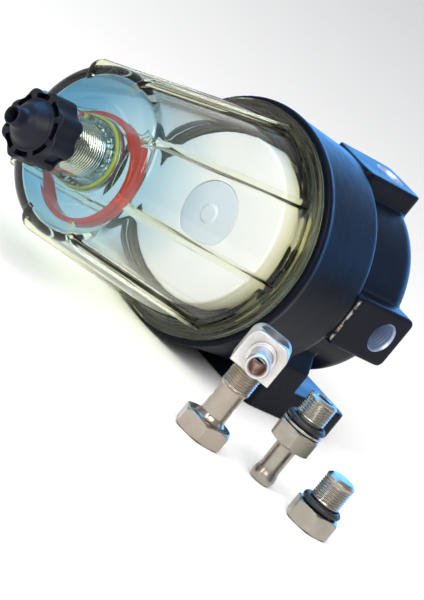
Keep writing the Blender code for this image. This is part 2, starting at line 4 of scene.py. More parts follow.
import bmesh
import bpy
from mathutils import Matrix, Vector


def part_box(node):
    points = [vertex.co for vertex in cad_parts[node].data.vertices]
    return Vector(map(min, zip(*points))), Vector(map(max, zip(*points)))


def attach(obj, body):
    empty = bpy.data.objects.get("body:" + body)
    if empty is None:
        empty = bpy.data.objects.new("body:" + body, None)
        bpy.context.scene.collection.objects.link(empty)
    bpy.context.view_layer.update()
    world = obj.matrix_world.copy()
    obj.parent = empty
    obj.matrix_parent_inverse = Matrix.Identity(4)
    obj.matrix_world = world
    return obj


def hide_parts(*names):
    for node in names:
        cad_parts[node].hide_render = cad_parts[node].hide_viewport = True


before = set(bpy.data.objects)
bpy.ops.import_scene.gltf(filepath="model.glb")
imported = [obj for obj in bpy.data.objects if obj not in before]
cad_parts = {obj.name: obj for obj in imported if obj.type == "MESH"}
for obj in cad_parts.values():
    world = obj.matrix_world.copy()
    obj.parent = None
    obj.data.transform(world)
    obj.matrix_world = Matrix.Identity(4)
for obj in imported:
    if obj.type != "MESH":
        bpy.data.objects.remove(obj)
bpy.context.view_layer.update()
scene = bpy.context.scene
print("frame loaded:", len(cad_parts), "nodes")

mm = 0.001
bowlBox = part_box("bowl")
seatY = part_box("head_casting")[0].y          # where the bowl's flange meets the head
axisZ = (bowlBox[0].z + bowlBox[1].z) / 2    # height of the filter's axis
upright = Matrix.Identity(3)
alongAxis = Matrix(((1, 0, 0), (0, 0, 1), (0, 1, 0)))  # local z runs along world +y


def onAxis(station, x=0.0, z=0.0):
    # a station is a distance in millimetres from the seat, positive into the head
    return Vector((x * mm, seatY + station * mm, axisZ + z * mm))


def footOf(node):
    # the middle of a standing node's underside
    low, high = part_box(node)
    return Vector(((low.x + high.x) / 2, (low.y + high.y) / 2, low.z))


# Mesh tools

def newPiece(name, builder, sharpAngle=32):
    bmesh.ops.recalc_face_normals(builder, faces=builder.faces)
    mesh = bpy.data.meshes.new(name)
    builder.to_mesh(mesh)
    builder.free()
    mesh.shade_smooth()
    mesh.set_sharp_from_angle(angle=math.radians(sharpAngle))
    piece = bpy.data.objects.new(name, mesh)
    scene.collection.objects.link(piece)
    return piece


def rounded(points, ring=False, pieces=4):
    # a turned outline of (radius, height) or (radius, height, corner radius), with its corners rounded
    path = []
    for i, point in enumerate(points):
        corner = Vector(point[:2])
        atEnd = not ring and i in (0, len(points) - 1)
        if atEnd or len(point) < 3 or not point[2]:
            path.append(tuple(corner))
            continue
        before = Vector(points[i - 1][:2]) - corner
        after = Vector(points[(i + 1) % len(points)][:2]) - corner
        reach = min(point[2], 0.49 * before.length, 0.49 * after.length)
        start = corner + before.normalized() * reach
        end = corner + after.normalized() * reach
        for k in range(pieces + 1):
            t = k / pieces
            path.append(tuple(start * (1 - t) ** 2 + corner * 2 * t * (1 - t) + end * t * t))
    return path


def arc(middle, radius, fromDeg, toDeg, pieces):
    return [(middle[0] + radius * math.cos(a), middle[1] + radius * math.sin(a))
            for a in (math.radians(fromDeg + (toDeg - fromDeg) * i / pieces)
                      for i in range(pieces + 1))]


def bar(radius, high, low):
    # the outline of a plain round bar, mostly used to drill a hole
    return [(0.0, high), (radius, high), (radius, low), (0.0, low)]


def rowsBetween(radius, start, end, spacing):
    count = max(2, round(abs(end - start) / spacing))
    return [(radius, start + (end - start) * i / count) for i in range(count + 1)]


def lathe(name, outline, steps, place, turn=upright, shape=None, ring=False, sharpAngle=32):
    # turns an outline about local z; shape(radius, height, angle) may change a point
    builder = bmesh.new()
    rows = []
    for radius, height in outline:
        row = []
        for step in range(steps if radius else 1):
            angle = math.tau * step / steps
            r, h = shape(radius, height, angle) if shape and radius else (radius, height)
            local = Vector((r * math.cos(angle), r * math.sin(angle), h)) * mm
            row.append(builder.verts.new(place + turn @ local))
        rows.append(row)
    pairs = list(zip(rows, rows[1:])) + ([(rows[-1], rows[0])] if ring else [])
    for above, below in pairs:
        for step in range(steps):
            after = (step + 1) % steps
            corners = [above[step % len(above)], above[after % len(above)],
                       below[after % len(below)], below[step % len(below)]]
            corners = list(dict.fromkeys(corners))
            if len(corners) > 2:
                builder.faces.new(corners)
    return newPiece(name, builder, sharpAngle)


def facing(angle):
    # the direction out from the filter's axis at an angle, and the turn whose local z points that way
    out = Vector((math.cos(angle), 0, math.sin(angle)))
    side = Vector((-math.sin(angle), 0, math.cos(angle)))
    return out, Matrix((Vector((0, 1, 0)), side, out)).transposed()


def prism(name, outline, thickness, place, turn):
    # a flat outline, in millimetres, with a thickness along local z, centred on its place
    builder = bmesh.new()
    layers = [[builder.verts.new(place + turn @ (Vector((x, y, side * thickness / 2)) * mm))
               for x, y in outline] for side in (-1, 1)]
    builder.faces.new(layers[0])
    builder.faces.new(layers[1])
    for i in range(len(outline)):
        j = (i + 1) % len(outline)
        builder.faces.new((layers[0][i], layers[0][j], layers[1][j], layers[1][i]))
    return newPiece(name, builder)


def roundedBox(halfX, halfY, radii, pieces=6):
    signs = ((1, 1), (-1, 1), (-1, -1), (1, -1))
    points = []
    for corner, ((signX, signY), radius) in enumerate(zip(signs, radii)):
        middle = (signX * (halfX - radius), signY * (halfY - radius))
        if radius:
            points += arc(middle, radius, 90 * corner, 90 * corner + 90, pieces)
        else:
            points.append(middle)
    return points


def settle(piece):
    # applies the piece's modifiers to its mesh
    bpy.context.view_layer.update()
    graph = bpy.context.evaluated_depsgraph_get()
    mesh = bpy.data.meshes.new_from_object(piece.evaluated_get(graph))
    piece.modifiers.clear()
    piece.data = mesh
    return piece


def carve(piece, cutters, operation="DIFFERENCE", solver="EXACT"):
    for cutter in cutters:
        change = piece.modifiers.new("carve", "BOOLEAN")
        change.operation = operation
        change.solver = solver
        change.object = cutter
    settle(piece)
    for cutter in cutters:
        bpy.data.objects.remove(cutter)
    return piece


def castForm(name, solids, voxel, passes):
    # melts overlapping solids into one form with soft inside and outside corners
    builder = bmesh.new()
    for solid in solids:
        builder.from_mesh(solid.data)
        bpy.data.objects.remove(solid)
    piece = newPiece(name, builder)
    melt = piece.modifiers.new("melt", "REMESH")
    melt.mode = "VOXEL"
    melt.voxel_size = voxel * mm
    soften = piece.modifiers.new("soften", "SMOOTH")
    soften.factor = 0.5
    soften.iterations = passes
    return settle(piece)


def crisp(piece, angle=32):
    piece.data.shade_smooth()
    piece.data.set_sharp_from_angle(angle=math.radians(angle))
    return piece


def dress(piece, body, materialSlot, materials, *nodes):
    piece.data.materials.clear()
    for material in materials:
        piece.data.materials.append(material)
    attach(piece, body)
    if nodes:
        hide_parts(*nodes)
    return piece


def threaded(radius, low, high, pitch, depth, hand=1):
    # a screw thread on the stretch of an outline at this radius; hand is 1 upright and -1 along the axis
    def shape(r, h, angle):
        if abs(r - radius) < 0.01 and low <= h <= high:
            turn = (h / pitch - hand * angle / math.tau) % 1
            groove = min(1.0, max(0.0, (1 - abs(2 * turn - 1)) * 1.5 - 0.2))
            fade = min(1.0, (h - low) / pitch, (high - h) / pitch)
            r -= depth * groove * fade
        return r, h
    return shape


def hexagonal(acrossFlats, turnDeg, low, high):
    # trims the stretch of an outline between two heights to a hexagon bar
    def shape(r, h, angle):
        if low <= h <= high:
            fromFlat = (angle - math.radians(turnDeg)) % (math.pi / 3) - math.pi / 6
            r = min(r, acrossFlats / 2 / math.cos(fromFlat))
        return r, h
    return shape


def both(first, second):
    # one change of shape on top of another
    def shape(r, h, angle):
        return first(*second(r, h, angle), angle)
    return shape


# Shared surface effects, each a node group

def newGroup(name, inputs, outputs):
    group = bpy.data.node_groups.new(name, "ShaderNodeTree")
    for socketName, socketType, value in inputs:
        socket = group.interface.new_socket(socketName, in_out="INPUT", socket_type=socketType)
        socket.default_value = value
    for socketName, socketType in outputs:
        group.interface.new_socket(socketName, in_out="OUTPUT", socket_type=socketType)
    nodes = group.nodes
    return group, nodes.new("NodeGroupInput").outputs, nodes.new("NodeGroupOutput").inputs


def addNode(tree, kind, **settings):
    node = tree.nodes.new(kind)
    for setting, value in settings.items():
        setattr(node, setting, value)
    return node


def feed(tree, node, **links):
    # fills a node's inputs by position, as i0, i1 and so on, with links or plain values
    for key, value in links.items():
        socket = node.inputs[int(key[1:])]
        if isinstance(value, bpy.types.NodeSocket):
            tree.links.new(value, socket)
        else:
            socket.default_value = value
    return node


def mathNode(tree, operation, first, second=0.0, clamp=False):
    node = addNode(tree, "ShaderNodeMath", operation=operation, use_clamp=clamp)
    return feed(tree, node, i0=first, i1=second).outputs[0]


def noiseNode(tree, place, scale, detail=4.0, roughness=0.55):
    node = addNode(tree, "ShaderNodeTexNoise")
    tree.links.new(place, node.inputs["Vector"])
    if isinstance(scale, bpy.types.NodeSocket):
        tree.links.new(scale, node.inputs["Scale"])
    else:
        node.inputs["Scale"].default_value = scale
    node.inputs["Detail"].default_value = detail
    node.inputs["Roughness"].default_value = roughness
    return node.outputs["Fac"]


def rangeNode(tree, value, low, high, toLow=0.0, toHigh=1.0):
    node = addNode(tree, "ShaderNodeMapRange")
    return feed(tree, node, i0=value, i1=low, i2=high, i3=toLow, i4=toHigh).outputs[0]


def blendColour(tree, share, first, second):
    node = addNode(tree, "ShaderNodeMix", data_type="RGBA")
    for socket, value in ((node.inputs[0], share), (node.inputs[6], first), (node.inputs[7], second)):
        if isinstance(value, bpy.types.NodeSocket):
            tree.links.new(value, socket)
        else:
            socket.default_value = value
    return node.outputs[2]


def makeSurfaceWear():
    # patchy colour and roughness, with the second colour worn through on raised edges
    group, given, out = newGroup("surfaceWear", [
        ("Colour", "NodeSocketColor", (0.5, 0.5, 0.5, 1)),
        ("Mottle Colour", "NodeSocketColor", (0.4, 0.4, 0.4, 1)),
        ("Worn Colour", "NodeSocketColor", (0.8, 0.8, 0.8, 1)),
        ("Patch Scale", "NodeSocketFloat", 90.0), ("Mottle", "NodeSocketFloat", 0.3),
        ("Edge Wear", "NodeSocketFloat", 0.3), ("Roughness", "NodeSocketFloat", 0.4),
        ("Spread", "NodeSocketFloat", 0.1)],
        [("Colour", "NodeSocketColor"), ("Roughness", "NodeSocketFloat"),
         ("Wear", "NodeSocketFloat")])
    place = addNode(group, "ShaderNodeTexCoord").outputs["Object"]
    patches = noiseNode(group, place, given["Patch Scale"], 5.0, 0.6)
    fine = noiseNode(group, place, mathNode(group, "MULTIPLY", given["Patch Scale"], 9.0), 3.0)
    mottled = blendColour(group, mathNode(group, "MULTIPLY", rangeNode(group, patches, 0.35, 0.7),
                                          given["Mottle"]), given["Colour"], given["Mottle Colour"])
    edge = addNode(group, "ShaderNodeNewGeometry").outputs["Pointiness"]
    rubbed = mathNode(group, "MULTIPLY", rangeNode(group, edge, 0.53, 0.62),
                      rangeNode(group, fine, 0.35, 0.6))
    worn = mathNode(group, "MULTIPLY", rubbed, given["Edge Wear"], clamp=True)
    group.links.new(blendColour(group, worn, mottled, given["Worn Colour"]), out["Colour"])
    shift = mathNode(group, "MULTIPLY", rangeNode(group, patches, 0.3, 0.7, -1.0, 1.0),
                     given["Spread"])
    group.links.new(mathNode(group, "ADD", given["Roughness"], shift, clamp=True), out["Roughness"])
    group.links.new(worn, out["Wear"])
    return group


def makeCastGrain():
    # the fine orange peel of paint over a cast skin, or of a moulded surface
    group, given, out = newGroup("castGrain", [
        ("Grain Scale", "NodeSocketFloat", 900.0), ("Ripple Scale", "NodeSocketFloat", 120.0),
        ("Ripple", "NodeSocketFloat", 0.5)], [("Height", "NodeSocketFloat")])
    place = addNode(group, "ShaderNodeTexCoord").outputs["Object"]
    grain = noiseNode(group, place, given["Grain Scale"], 4.0, 0.6)
    ripple = noiseNode(group, place, given["Ripple Scale"], 2.0, 0.4)
    rolled = mathNode(group, "MULTIPLY", ripple, given["Ripple"])
    group.links.new(mathNode(group, "ADD", grain, rolled), out["Height"])
    return group


def makeTurningMarks():
    # fine tool rings across a turned surface; Along is the coordinate that the tool moved on
    group, given, out = newGroup("turningMarks", [
        ("Along", "NodeSocketFloat", 0.0), ("Marks Per Metre", "NodeSocketFloat", 4000.0)],
        [("Height", "NodeSocketFloat"), ("Sheen", "NodeSocketFloat")])
    scaled = mathNode(group, "MULTIPLY", given["Along"], given["Marks Per Metre"])
    marks = addNode(group, "ShaderNodeTexNoise", noise_dimensions="1D")
    group.links.new(scaled, marks.inputs["W"])
    marks.inputs["Scale"].default_value = 1.0
    marks.inputs["Detail"].default_value = 3.0
    group.links.new(marks.outputs["Fac"], out["Height"])
    group.links.new(rangeNode(group, marks.outputs["Fac"], 0.3, 0.7), out["Sheen"])
    return group


surfaceWear = makeSurfaceWear()
castGrain = makeCastGrain()
turningMarks = makeTurningMarks()


def startMaterial(name, **constants):
    made = bpy.data.materials.new(name)
    made.use_nodes = True
    shader = made.node_tree.nodes["Principled BSDF"]
    for key, value in constants.items():
        shader.inputs[key.replace("_", " ")].default_value = value
    return made, made.node_tree, shader


def useGroup(tree, group, **values):
    node = addNode(tree, "ShaderNodeGroup", node_tree=group)
    for key, value in values.items():
        socket = node.inputs[key.replace("_", " ")]
        if isinstance(value, bpy.types.NodeSocket):
            tree.links.new(value, socket)
        else:
            socket.default_value = value
    return node


def bumpFrom(tree, shader, height, distance, strength=1.0):
    bump = addNode(tree, "ShaderNodeBump")
    bump.inputs["Strength"].default_value = strength
    bump.inputs["Distance"].default_value = distance * mm
    tree.links.new(height, bump.inputs["Height"])
    tree.links.new(bump.outputs["Normal"], shader.inputs["Normal"])


def paintedCasting():
    made, tree, shader = startMaterial("paintedCasting", Specular_IOR_Level=0.1)
    wear = useGroup(tree, surfaceWear, Colour=(0.0012, 0.0022, 0.0065, 1),
                    Mottle_Colour=(0.0025, 0.0045, 0.012, 1), Worn_Colour=(0.07, 0.075, 0.08, 1),
                    Patch_Scale=55.0, Mottle=0.7, Edge_Wear=0.2, Roughness=0.34, Spread=0.07)
    tree.links.new(wear.outputs["Roughness"], shader.inputs["Roughness"])
    # the paint is scuffed through along the front edge of the near port's boss
    place = addNode(tree, "ShaderNodeTexCoord").outputs["Object"]
    split = addNode(tree, "ShaderNodeSeparateXYZ")
    tree.links.new(place, split.inputs[0])
    away = [mathNode(tree, "POWER", mathNode(tree, "SUBTRACT", split.outputs[axis], edge), 2.0)
            for axis, edge in (("X", 0.0548), ("Y", seatY + 0.0457))]
    distance = mathNode(tree, "SQRT", mathNode(tree, "ADD", away[0], away[1]))
    scuff = mathNode(tree, "MULTIPLY", rangeNode(tree, distance, 0.0009, 0.0004),
                     rangeNode(tree, noiseNode(tree, place, 260.0), 0.44, 0.58))
    tree.links.new(blendColour(tree, scuff, wear.outputs["Colour"], (0.42, 0.38, 0.32, 1)),
                   shader.inputs["Base Color"])
    tree.links.new(scuff, shader.inputs["Metallic"])
    grain = useGroup(tree, castGrain, Grain_Scale=850.0, Ripple_Scale=140.0, Ripple=1.4)
    bumpFrom(tree, shader, grain.outputs["Height"], 0.07)
    return made


def barePort():
    made, tree, shader = startMaterial("barePort", Metallic=1.0)
    # the bluish colour is a painted reflection of blue surroundings; bare aluminium itself is silver
    wear = useGroup(tree, surfaceWear, Colour=(0.62, 0.70, 0.88, 1),
                    Mottle_Colour=(0.50, 0.58, 0.76, 1), Worn_Colour=(0.9, 0.92, 0.95, 1),
                    Patch_Scale=160.0, Mottle=0.5, Edge_Wear=0.4, Roughness=0.46, Spread=0.08)
    tree.links.new(wear.outputs["Colour"], shader.inputs["Base Color"])
    tree.links.new(wear.outputs["Roughness"], shader.inputs["Roughness"])
    grain = useGroup(tree, castGrain, Grain_Scale=1600.0, Ripple=0.2)
    bumpFrom(tree, shader, grain.outputs["Height"], 0.02)
    return made


def metal(name, colour, mottle, worn, axis="Z", roughness=0.26, spread=0.08, patch=120.0,
          marks=5000.0, depth=0.012, edgeWear=0.5, threadRadius=0.0):
    # a turned or plated metal whose tool marks run round the given axis; with a thread radius in
    # millimetres, the grooves of a thread round the filter's axis get painted shade, a dark base colour
    made, tree, shader = startMaterial(name, Metallic=1.0)
    wear = useGroup(tree, surfaceWear, Colour=(*colour, 1), Mottle_Colour=(*mottle, 1),
                    Worn_Colour=(*worn, 1), Patch_Scale=patch, Mottle=0.55, Edge_Wear=edgeWear,
                    Roughness=roughness, Spread=spread)
    place = addNode(tree, "ShaderNodeTexCoord").outputs["Object"]
    split = addNode(tree, "ShaderNodeSeparateXYZ")
    tree.links.new(place, split.inputs[0])
    shade = wear.outputs["Colour"]
    if threadRadius:
        lifted = mathNode(tree, "SUBTRACT", split.outputs["Z"], axisZ)
        squares = [mathNode(tree, "MULTIPLY", side, side) for side in (split.outputs["X"], lifted)]
        fromAxis = mathNode(tree, "SQRT", mathNode(tree, "ADD", *squares))
        # painted shade: the base colour goes dark in the thread's grooves and stays light on the ridges
        ridge = rangeNode(tree, fromAxis, (threadRadius - 0.8) * mm, (threadRadius - 0.2) * mm)
        shade = blendColour(tree, ridge, (0.05, 0.05, 0.045, 1), shade)
    tree.links.new(shade, shader.inputs["Base Color"])
    turning = useGroup(tree, turningMarks, Along=split.outputs[axis], Marks_Per_Metre=marks)
    rough = mathNode(tree, "MULTIPLY", turning.outputs["Sheen"], 0.07)
    rough = mathNode(tree, "ADD", wear.outputs["Roughness"], rough, clamp=True)
    tree.links.new(rough, shader.inputs["Roughness"])
    bumpFrom(tree, shader, turning.outputs["Height"], depth)
    return made


def moulded(name, colour, mottle, worn, roughness, grain=700.0, depth=0.03, wearAmount=0.2,
            **constants):
    made, tree, shader = startMaterial(name, **constants)
    wear = useGroup(tree, surfaceWear, Colour=(*colour, 1), Mottle_Colour=(*mottle, 1),
                    Worn_Colour=(*worn, 1), Patch_Scale=80.0, Mottle=0.5, Edge_Wear=wearAmount,
                    Roughness=roughness, Spread=0.06)
    tree.links.new(wear.outputs["Colour"], shader.inputs["Base Color"])
    tree.links.new(wear.outputs["Roughness"], shader.inputs["Roughness"])
    skin = useGroup(tree, castGrain, Grain_Scale=grain, Ripple_Scale=100.0, Ripple=0.6)
    bumpFrom(tree, shader, skin.outputs["Height"], depth)
    return made


# endTint and farTint are painted blue, standing in for blue surroundings seen through the bowl rather than a
# colour of the plastic
glass = {"bodyIor": 1.17, "edgeIor": 1.15, "bossIor": 1.06, "roughness": 0.02,
         "mouthTint": (0.84, 0.82, 0.50), "wallTint": (0.96, 0.95, 0.91), "endTint": (0.42, 0.66, 0.77),
         "farTint": (0.24, 0.50, 0.64), "bossTint": (0.80, 0.87, 0.80), "edgeTint": (0.86, 0.85, 0.62)}


def wallTint(tree, station, across):
    # painted blue towards the closed end and on the far side, a painted reflection of the blue surroundings
    # seen through the bowl; nearly clear on the boss
    tints = {part: (*glass[part + "Tint"], 1) for part in ("wall", "end", "boss", "far")}
    nearEnd = rangeNode(tree, station, -0.06, -0.10)
    body = blendColour(tree, nearEnd, tints["wall"], tints["end"])
    body = blendColour(tree, rangeNode(tree, station, -0.1035, -0.105), body, tints["boss"])
    # painted reflection: the side away from the camera turns blue, for the surroundings seen through it
    farSide = mathNode(tree, "MULTIPLY", rangeNode(tree, across, 0.0, -0.03),
                       rangeNode(tree, station, -0.03, -0.07))
    return blendColour(tree, farSide, body, tints["far"])


def clearPlastic(name, ior, edge=False):
    # clear moulding, olive at the flange, with painted blue from wallTint on the body; lamps shine straight
    # through it
    made, tree, shader = startMaterial(name, Transmission_Weight=1.0, IOR=ior, Coat_Weight=0.6)
    place = addNode(tree, "ShaderNodeTexCoord").outputs["Object"]
    split = addNode(tree, "ShaderNodeSeparateXYZ")
    tree.links.new(place, split.inputs[0])
    station = mathNode(tree, "SUBTRACT", split.outputs["Y"], seatY)
    nearMouth = rangeNode(tree, station, -0.015, -0.005)
    body = (*glass["edgeTint"], 1) if edge else wallTint(tree, station, split.outputs["X"])
    tint = blendColour(tree, nearMouth, body, (*glass["mouthTint"], 1))
    tree.links.new(tint, shader.inputs["Base Color"])
    haze = noiseNode(tree, place, 60.0, 3.0)
    rough = rangeNode(tree, haze, 0.4, 0.7, glass["roughness"], glass["roughness"] + 0.04)
    tree.links.new(rough, shader.inputs["Roughness"])
    skin = useGroup(tree, castGrain, Grain_Scale=60.0, Ripple_Scale=45.0, Ripple=1.0)
    bumpFrom(tree, shader, skin.outputs["Height"], 0.05)
    lamps = addNode(tree, "ShaderNodeBsdfTransparent")
    lamps.inputs[0].default_value = (0.93, 0.95, 0.9, 1)
    mix = addNode(tree, "ShaderNodeMixShader")
    tree.links.new(addNode(tree, "ShaderNodeLightPath").outputs["Is Shadow Ray"], mix.inputs[0])
    tree.links.new(shader.outputs[0], mix.inputs[1])
    tree.links.new(lamps.outputs[0], mix.inputs[2])
    tree.links.new(mix.outputs[0], tree.nodes["Material Output"].inputs["Surface"])
    return made


def wovenSteel():
    # the strainer: two sets of wires crossing round the tube
    made, tree, shader = startMaterial("wovenSteel", Metallic=1.0)
    place = addNode(tree, "ShaderNodeTexCoord").outputs["Object"]
    split = addNode(tree, "ShaderNodeSeparateXYZ")
    tree.links.new(place, split.inputs[0])
    lifted = mathNode(tree, "SUBTRACT", split.outputs["Z"], axisZ)
    around = mathNode(tree, "ARCTAN2", lifted, split.outputs["X"])
    hoops = mathNode(tree, "SINE", mathNode(tree, "MULTIPLY", split.outputs["Y"], 6283.0))
    bars = mathNode(tree, "SINE", mathNode(tree, "MULTIPLY", around, 236.0))
    weave = mathNode(tree, "MAXIMUM", hoops, bars)
    tree.links.new(blendColour(tree, rangeNode(tree, weave, 0.0, 0.9), (0.05, 0.05, 0.055, 1),
                               (0.62, 0.62, 0.6, 1)), shader.inputs["Base Color"])
    tree.links.new(rangeNode(tree, weave, 0.0, 1.0, 0.6, 0.3), shader.inputs["Roughness"])
    bumpFrom(tree, shader, weave, 0.15)
    return made


painted = paintedCasting()
portMetal = barePort()
clearBody = clearPlastic("clearBody", glass["bodyIor"])
clearEdge = clearPlastic("clearEdge", glass["edgeIor"], edge=True)
clearBoss = clearPlastic("clearBoss", glass["bossIor"])
nickel = metal("nickelPlate", (0.37, 0.345, 0.295), (0.28, 0.25, 0.21), (0.72, 0.68, 0.6))
axisNickel = metal("axisNickel", (0.70, 0.68, 0.64), (0.52, 0.50, 0.46), (0.9, 0.88, 0.84), axis="Y",
                   roughness=0.18, threadRadius=11.0)
copperedNickel = metal("copperedNickel", (0.38, 0.345, 0.295), (0.36, 0.26, 0.19),
                       (0.72, 0.66, 0.58), patch=60.0)
blockNickel = metal("blockNickel", (0.62, 0.60, 0.58), (0.50, 0.48, 0.46), (0.85, 0.83, 0.8),
                    roughness=0.33, marks=2500.0)
copperBore = metal("copperBore", (0.62, 0.27, 0.13), (0.40, 0.16, 0.08), (0.8, 0.45, 0.28),
                   roughness=0.35)
brass = metal("brass", (0.66, 0.46, 0.18), (0.5, 0.34, 0.14), (0.86, 0.68, 0.36), axis="Y")
steel = metal("stainlessSteel", (0.56, 0.56, 0.55), (0.46, 0.46, 0.46), (0.8, 0.8, 0.8), axis="Y",
              roughness=0.3)
washerSteel = metal("washerSteel", (0.40, 0.38, 0.35), (0.3, 0.29, 0.27), (0.7, 0.68, 0.64))
ferrite = metal("ferrite", (0.09, 0.09, 0.10), (0.06, 0.06, 0.065), (0.25, 0.25, 0.26), axis="Y",
                roughness=0.5, marks=900.0)
knobPlastic = moulded("knobPlastic", (0.003, 0.004, 0.010), (0.006, 0.008, 0.017),
                      (0.04, 0.045, 0.06), 0.44, grain=1400.0, depth=0.035, Specular_IOR_Level=0.25)
capPlastic = moulded("capPlastic", (0.012, 0.012, 0.014), (0.02, 0.02, 0.022), (0.08, 0.08, 0.08), 0.5)
whitePlastic = moulded("whitePlastic", (0.72, 0.72, 0.73), (0.68, 0.68, 0.69), (0.8, 0.79, 0.76), 0.5)
hubPlastic = moulded("hubPlastic", (0.54, 0.59, 0.66), (0.50, 0.55, 0.62), (0.6, 0.66, 0.73), 0.42)
redPlastic = moulded("redPlastic", (0.86, 0.055, 0.02), (0.74, 0.04, 0.02), (0.9, 0.25, 0.16), 0.16,
                     depth=0.015, Coat_Weight=0.5)
rubber = moulded("blackRubber", (0.009, 0.009, 0.011), (0.016, 0.016, 0.018), (0.05, 0.05, 0.055), 0.46,
                 grain=1100.0, depth=0.02)
yellowRubber = moulded("yellowRubber", (0.80, 0.52, 0.05), (0.66, 0.42, 0.05), (0.9, 0.7, 0.25), 0.4)
print("materials made")


# Head: a painted casting with machined ports

headSize = {"rim": 58.5, "shoulder": 54.6, "shoulderAt": 44.0, "dome": 47.0, "domeRounding": 13.0,
            "end": 92.0, "footX": 45.0, "footY": 33.5, "footThick": 14.0, "voxel": 0.75, "softening": 7}
headBore = {"cavity": 42.3, "cavityEnd": 80.0, "step": 45.5, "mouth": 48.0, "mouthLength": 12.0,
            "grooveInner": 48.9, "grooveOuter": 52.6, "grooveDepth": 2.8,
            "roof": 22.0, "roofFrom": 66.8, "roofTo": 82.0, "outlet": 14.0, "rodSocket": 3.3}
portSize = {"face": 55.0, "half": 13.4, "from": 45.5, "to": 88.0, "at": 74.5, "corner": 4.0,
            "thread": 7.0, "pitch": 1.5, "threadDepth": 0.15, "drill": 6.0, "threadLength": 14.0,
            "lip": 0.7, "deep": 45.0, "shallow": 20.0}
footHole = {"radius": 3.4, "mouth": 4.0, "depth": 11.0, "x": 30.0, "y": 20.0}
ventSize = {"up": 24.0, "seatAt": 91.0, "seat": 8.0, "tapping": 4.3, "thread": 4.0, "pitch": 1.25,
            "threadDepth": 0.6, "threadHigh": 1.0, "threadLow": -10.4, "head": 6.8, "headTop": 5.5}
portDirections = {"near": Vector((1, 0, 0)), "far": Vector((-1, 0, 0)), "top": Vector((0, 0, 1))}


def portTurn(direction):
    along = Vector((0, 1, 0))
    return Matrix((along.cross(direction), along, direction)).transposed()


def headBody():
    s, port = headSize, portSize
    r, e = s["domeRounding"], s["end"]
    outline = [(0.0, e)] + arc((s["dome"] - r, e - r), r, 90, 0, 14)
    outline += rounded([(s["dome"], e - r), (s["dome"], s["shoulderAt"] + 3.0, 2.5), (s["shoulder"] - 1.2,
                        s["shoulderAt"] + 1.6, 1.5), (s["shoulder"], s["shoulderAt"] - 0.6, 1.2),
                        (s["rim"] - 0.8, 4.2), (s["rim"], 3.2), (s["rim"], 0.0)])[1:]
    solids = [lathe("round", outline + [(0.0, 0.0)], 192, onAxis(0), alongAxis)]
    middle = (port["from"] + port["to"]) / 2
    inner = s["dome"] - 8.0
    box = roundedBox(port["half"], (port["to"] - port["from"]) / 2, [port["corner"]] * 4)
    for direction in portDirections.values():
        centre = onAxis(middle) + direction * (inner + port["face"]) / 2 * mm
        solids.append(prism("boss", box, port["face"] - inner, centre, portTurn(direction)))
    foot = roundedBox(s["footX"], s["footY"], [4.0] * 4)
    solids.append(prism("foot", foot, s["footThick"], Vector((0, 0, s["footThick"] / 2 * mm)), upright))
    neck = [(s["footX"], -46.0), (s["footX"], -34.0), (42.6, -29.5), (40.6, -26.0), (40.0, -22.0)]
    neck += [(-x, z) for x, z in reversed(neck)]
    across = Matrix(((1, 0, 0), (0, 0, -1), (0, 1, 0)))
    solids.append(prism("neck", neck, 25.0, onAxis(51.5), across))
    return castForm("headCasting", solids, s["voxel"], s["softening"])


def portCutter(direction, depth):
    s = portSize
    top, bottom = -1.0, -s["threadLength"]
    lip = s["thread"] + s["lip"]
    outline = [(0.0, 3.0), (lip, 3.0), (lip, 0.0)]
    outline += rowsBetween(s["thread"], top, bottom, s["pitch"] / 8)
    outline += [(s["drill"], bottom - 0.6), (s["drill"], -depth), (0.0, -depth)]
    cutThread = threaded(s["thread"], bottom, top, s["pitch"], s["threadDepth"])
    return lathe("portCutter", outline, 64, onAxis(s["at"]) + direction * s["face"] * mm,
                 portTurn(direction), cutThread)


def footHolePlaces():
    return [Vector((x * mm, y * mm, 0)) for x in (-footHole["x"], footHole["x"])
            for y in (-footHole["y"], footHole["y"])]


def drillHead(head):
    s, vent, hole = headBore, ventSize, footHole
    cavity = rounded([(0.0, s["cavityEnd"]), (s["cavity"], s["cavityEnd"], 3.0), (s["cavity"], 44.0, 1.0),
                      (s["step"], 41.0, 1.0), (s["step"], s["mouthLength"] + 0.8),
                      (s["mouth"], s["mouthLength"]), (s["mouth"], -2.0), (0.0, -2.0)])
    groove = [(s["grooveOuter"], s["grooveDepth"]), (s["grooveOuter"], -2.0),
              (s["grooveInner"], -2.0), (s["grooveInner"], s["grooveDepth"])]
    carve(head, [lathe("cavity", cavity, 128, onAxis(0), alongAxis),
                 lathe("groove", groove, 128, onAxis(0), alongAxis, ring=True)], solver="MANIFOLD")
    # a thick roof over the outlet, bridged to the near port
    roof = lathe("roof", bar(s["roof"], s["roofTo"], s["roofFrom"]), 96, onAxis(0), alongAxis)
    beam = roundedBox(12.75, 9.0, [1.5] * 4)
    bridge = prism("bridge", beam, 13.6, onAxis(74.4, x=30.75), alongAxis)
    carve(head, [roof, bridge], "UNION", "MANIFOLD")
    ventSeat = [(0.0, 94.0), (vent["seat"], 94.0), (vent["seat"], vent["seatAt"]),
                (vent["tapping"], vent["seatAt"]), (vent["tapping"], 76.0), (0.0, 76.0)]
    cutters = [lathe("outlet", bar(s["outlet"], 79.0, 60.0), 64, onAxis(0), alongAxis),
               lathe("socket", bar(s["rodSocket"], 87.0, 76.0), 48, onAxis(0), alongAxis),
               lathe("ventSeat", ventSeat, 64, onAxis(0, z=vent["up"]), alongAxis)]
    for side, direction in portDirections.items():
        cutters.append(portCutter(direction, portSize["deep" if side == "near" else "shallow"]))
    drilled = [(0.0, hole["depth"]), (hole["radius"], hole["depth"]), (hole["radius"], 0.5),
               (hole["mouth"], -0.1), (hole["mouth"], -2.0), (0.0, -2.0)]
    cutters += [lathe("footHole", drilled, 48, place) for place in footHolePlaces()]
    carve(head, cutters, solver="MANIFOLD")


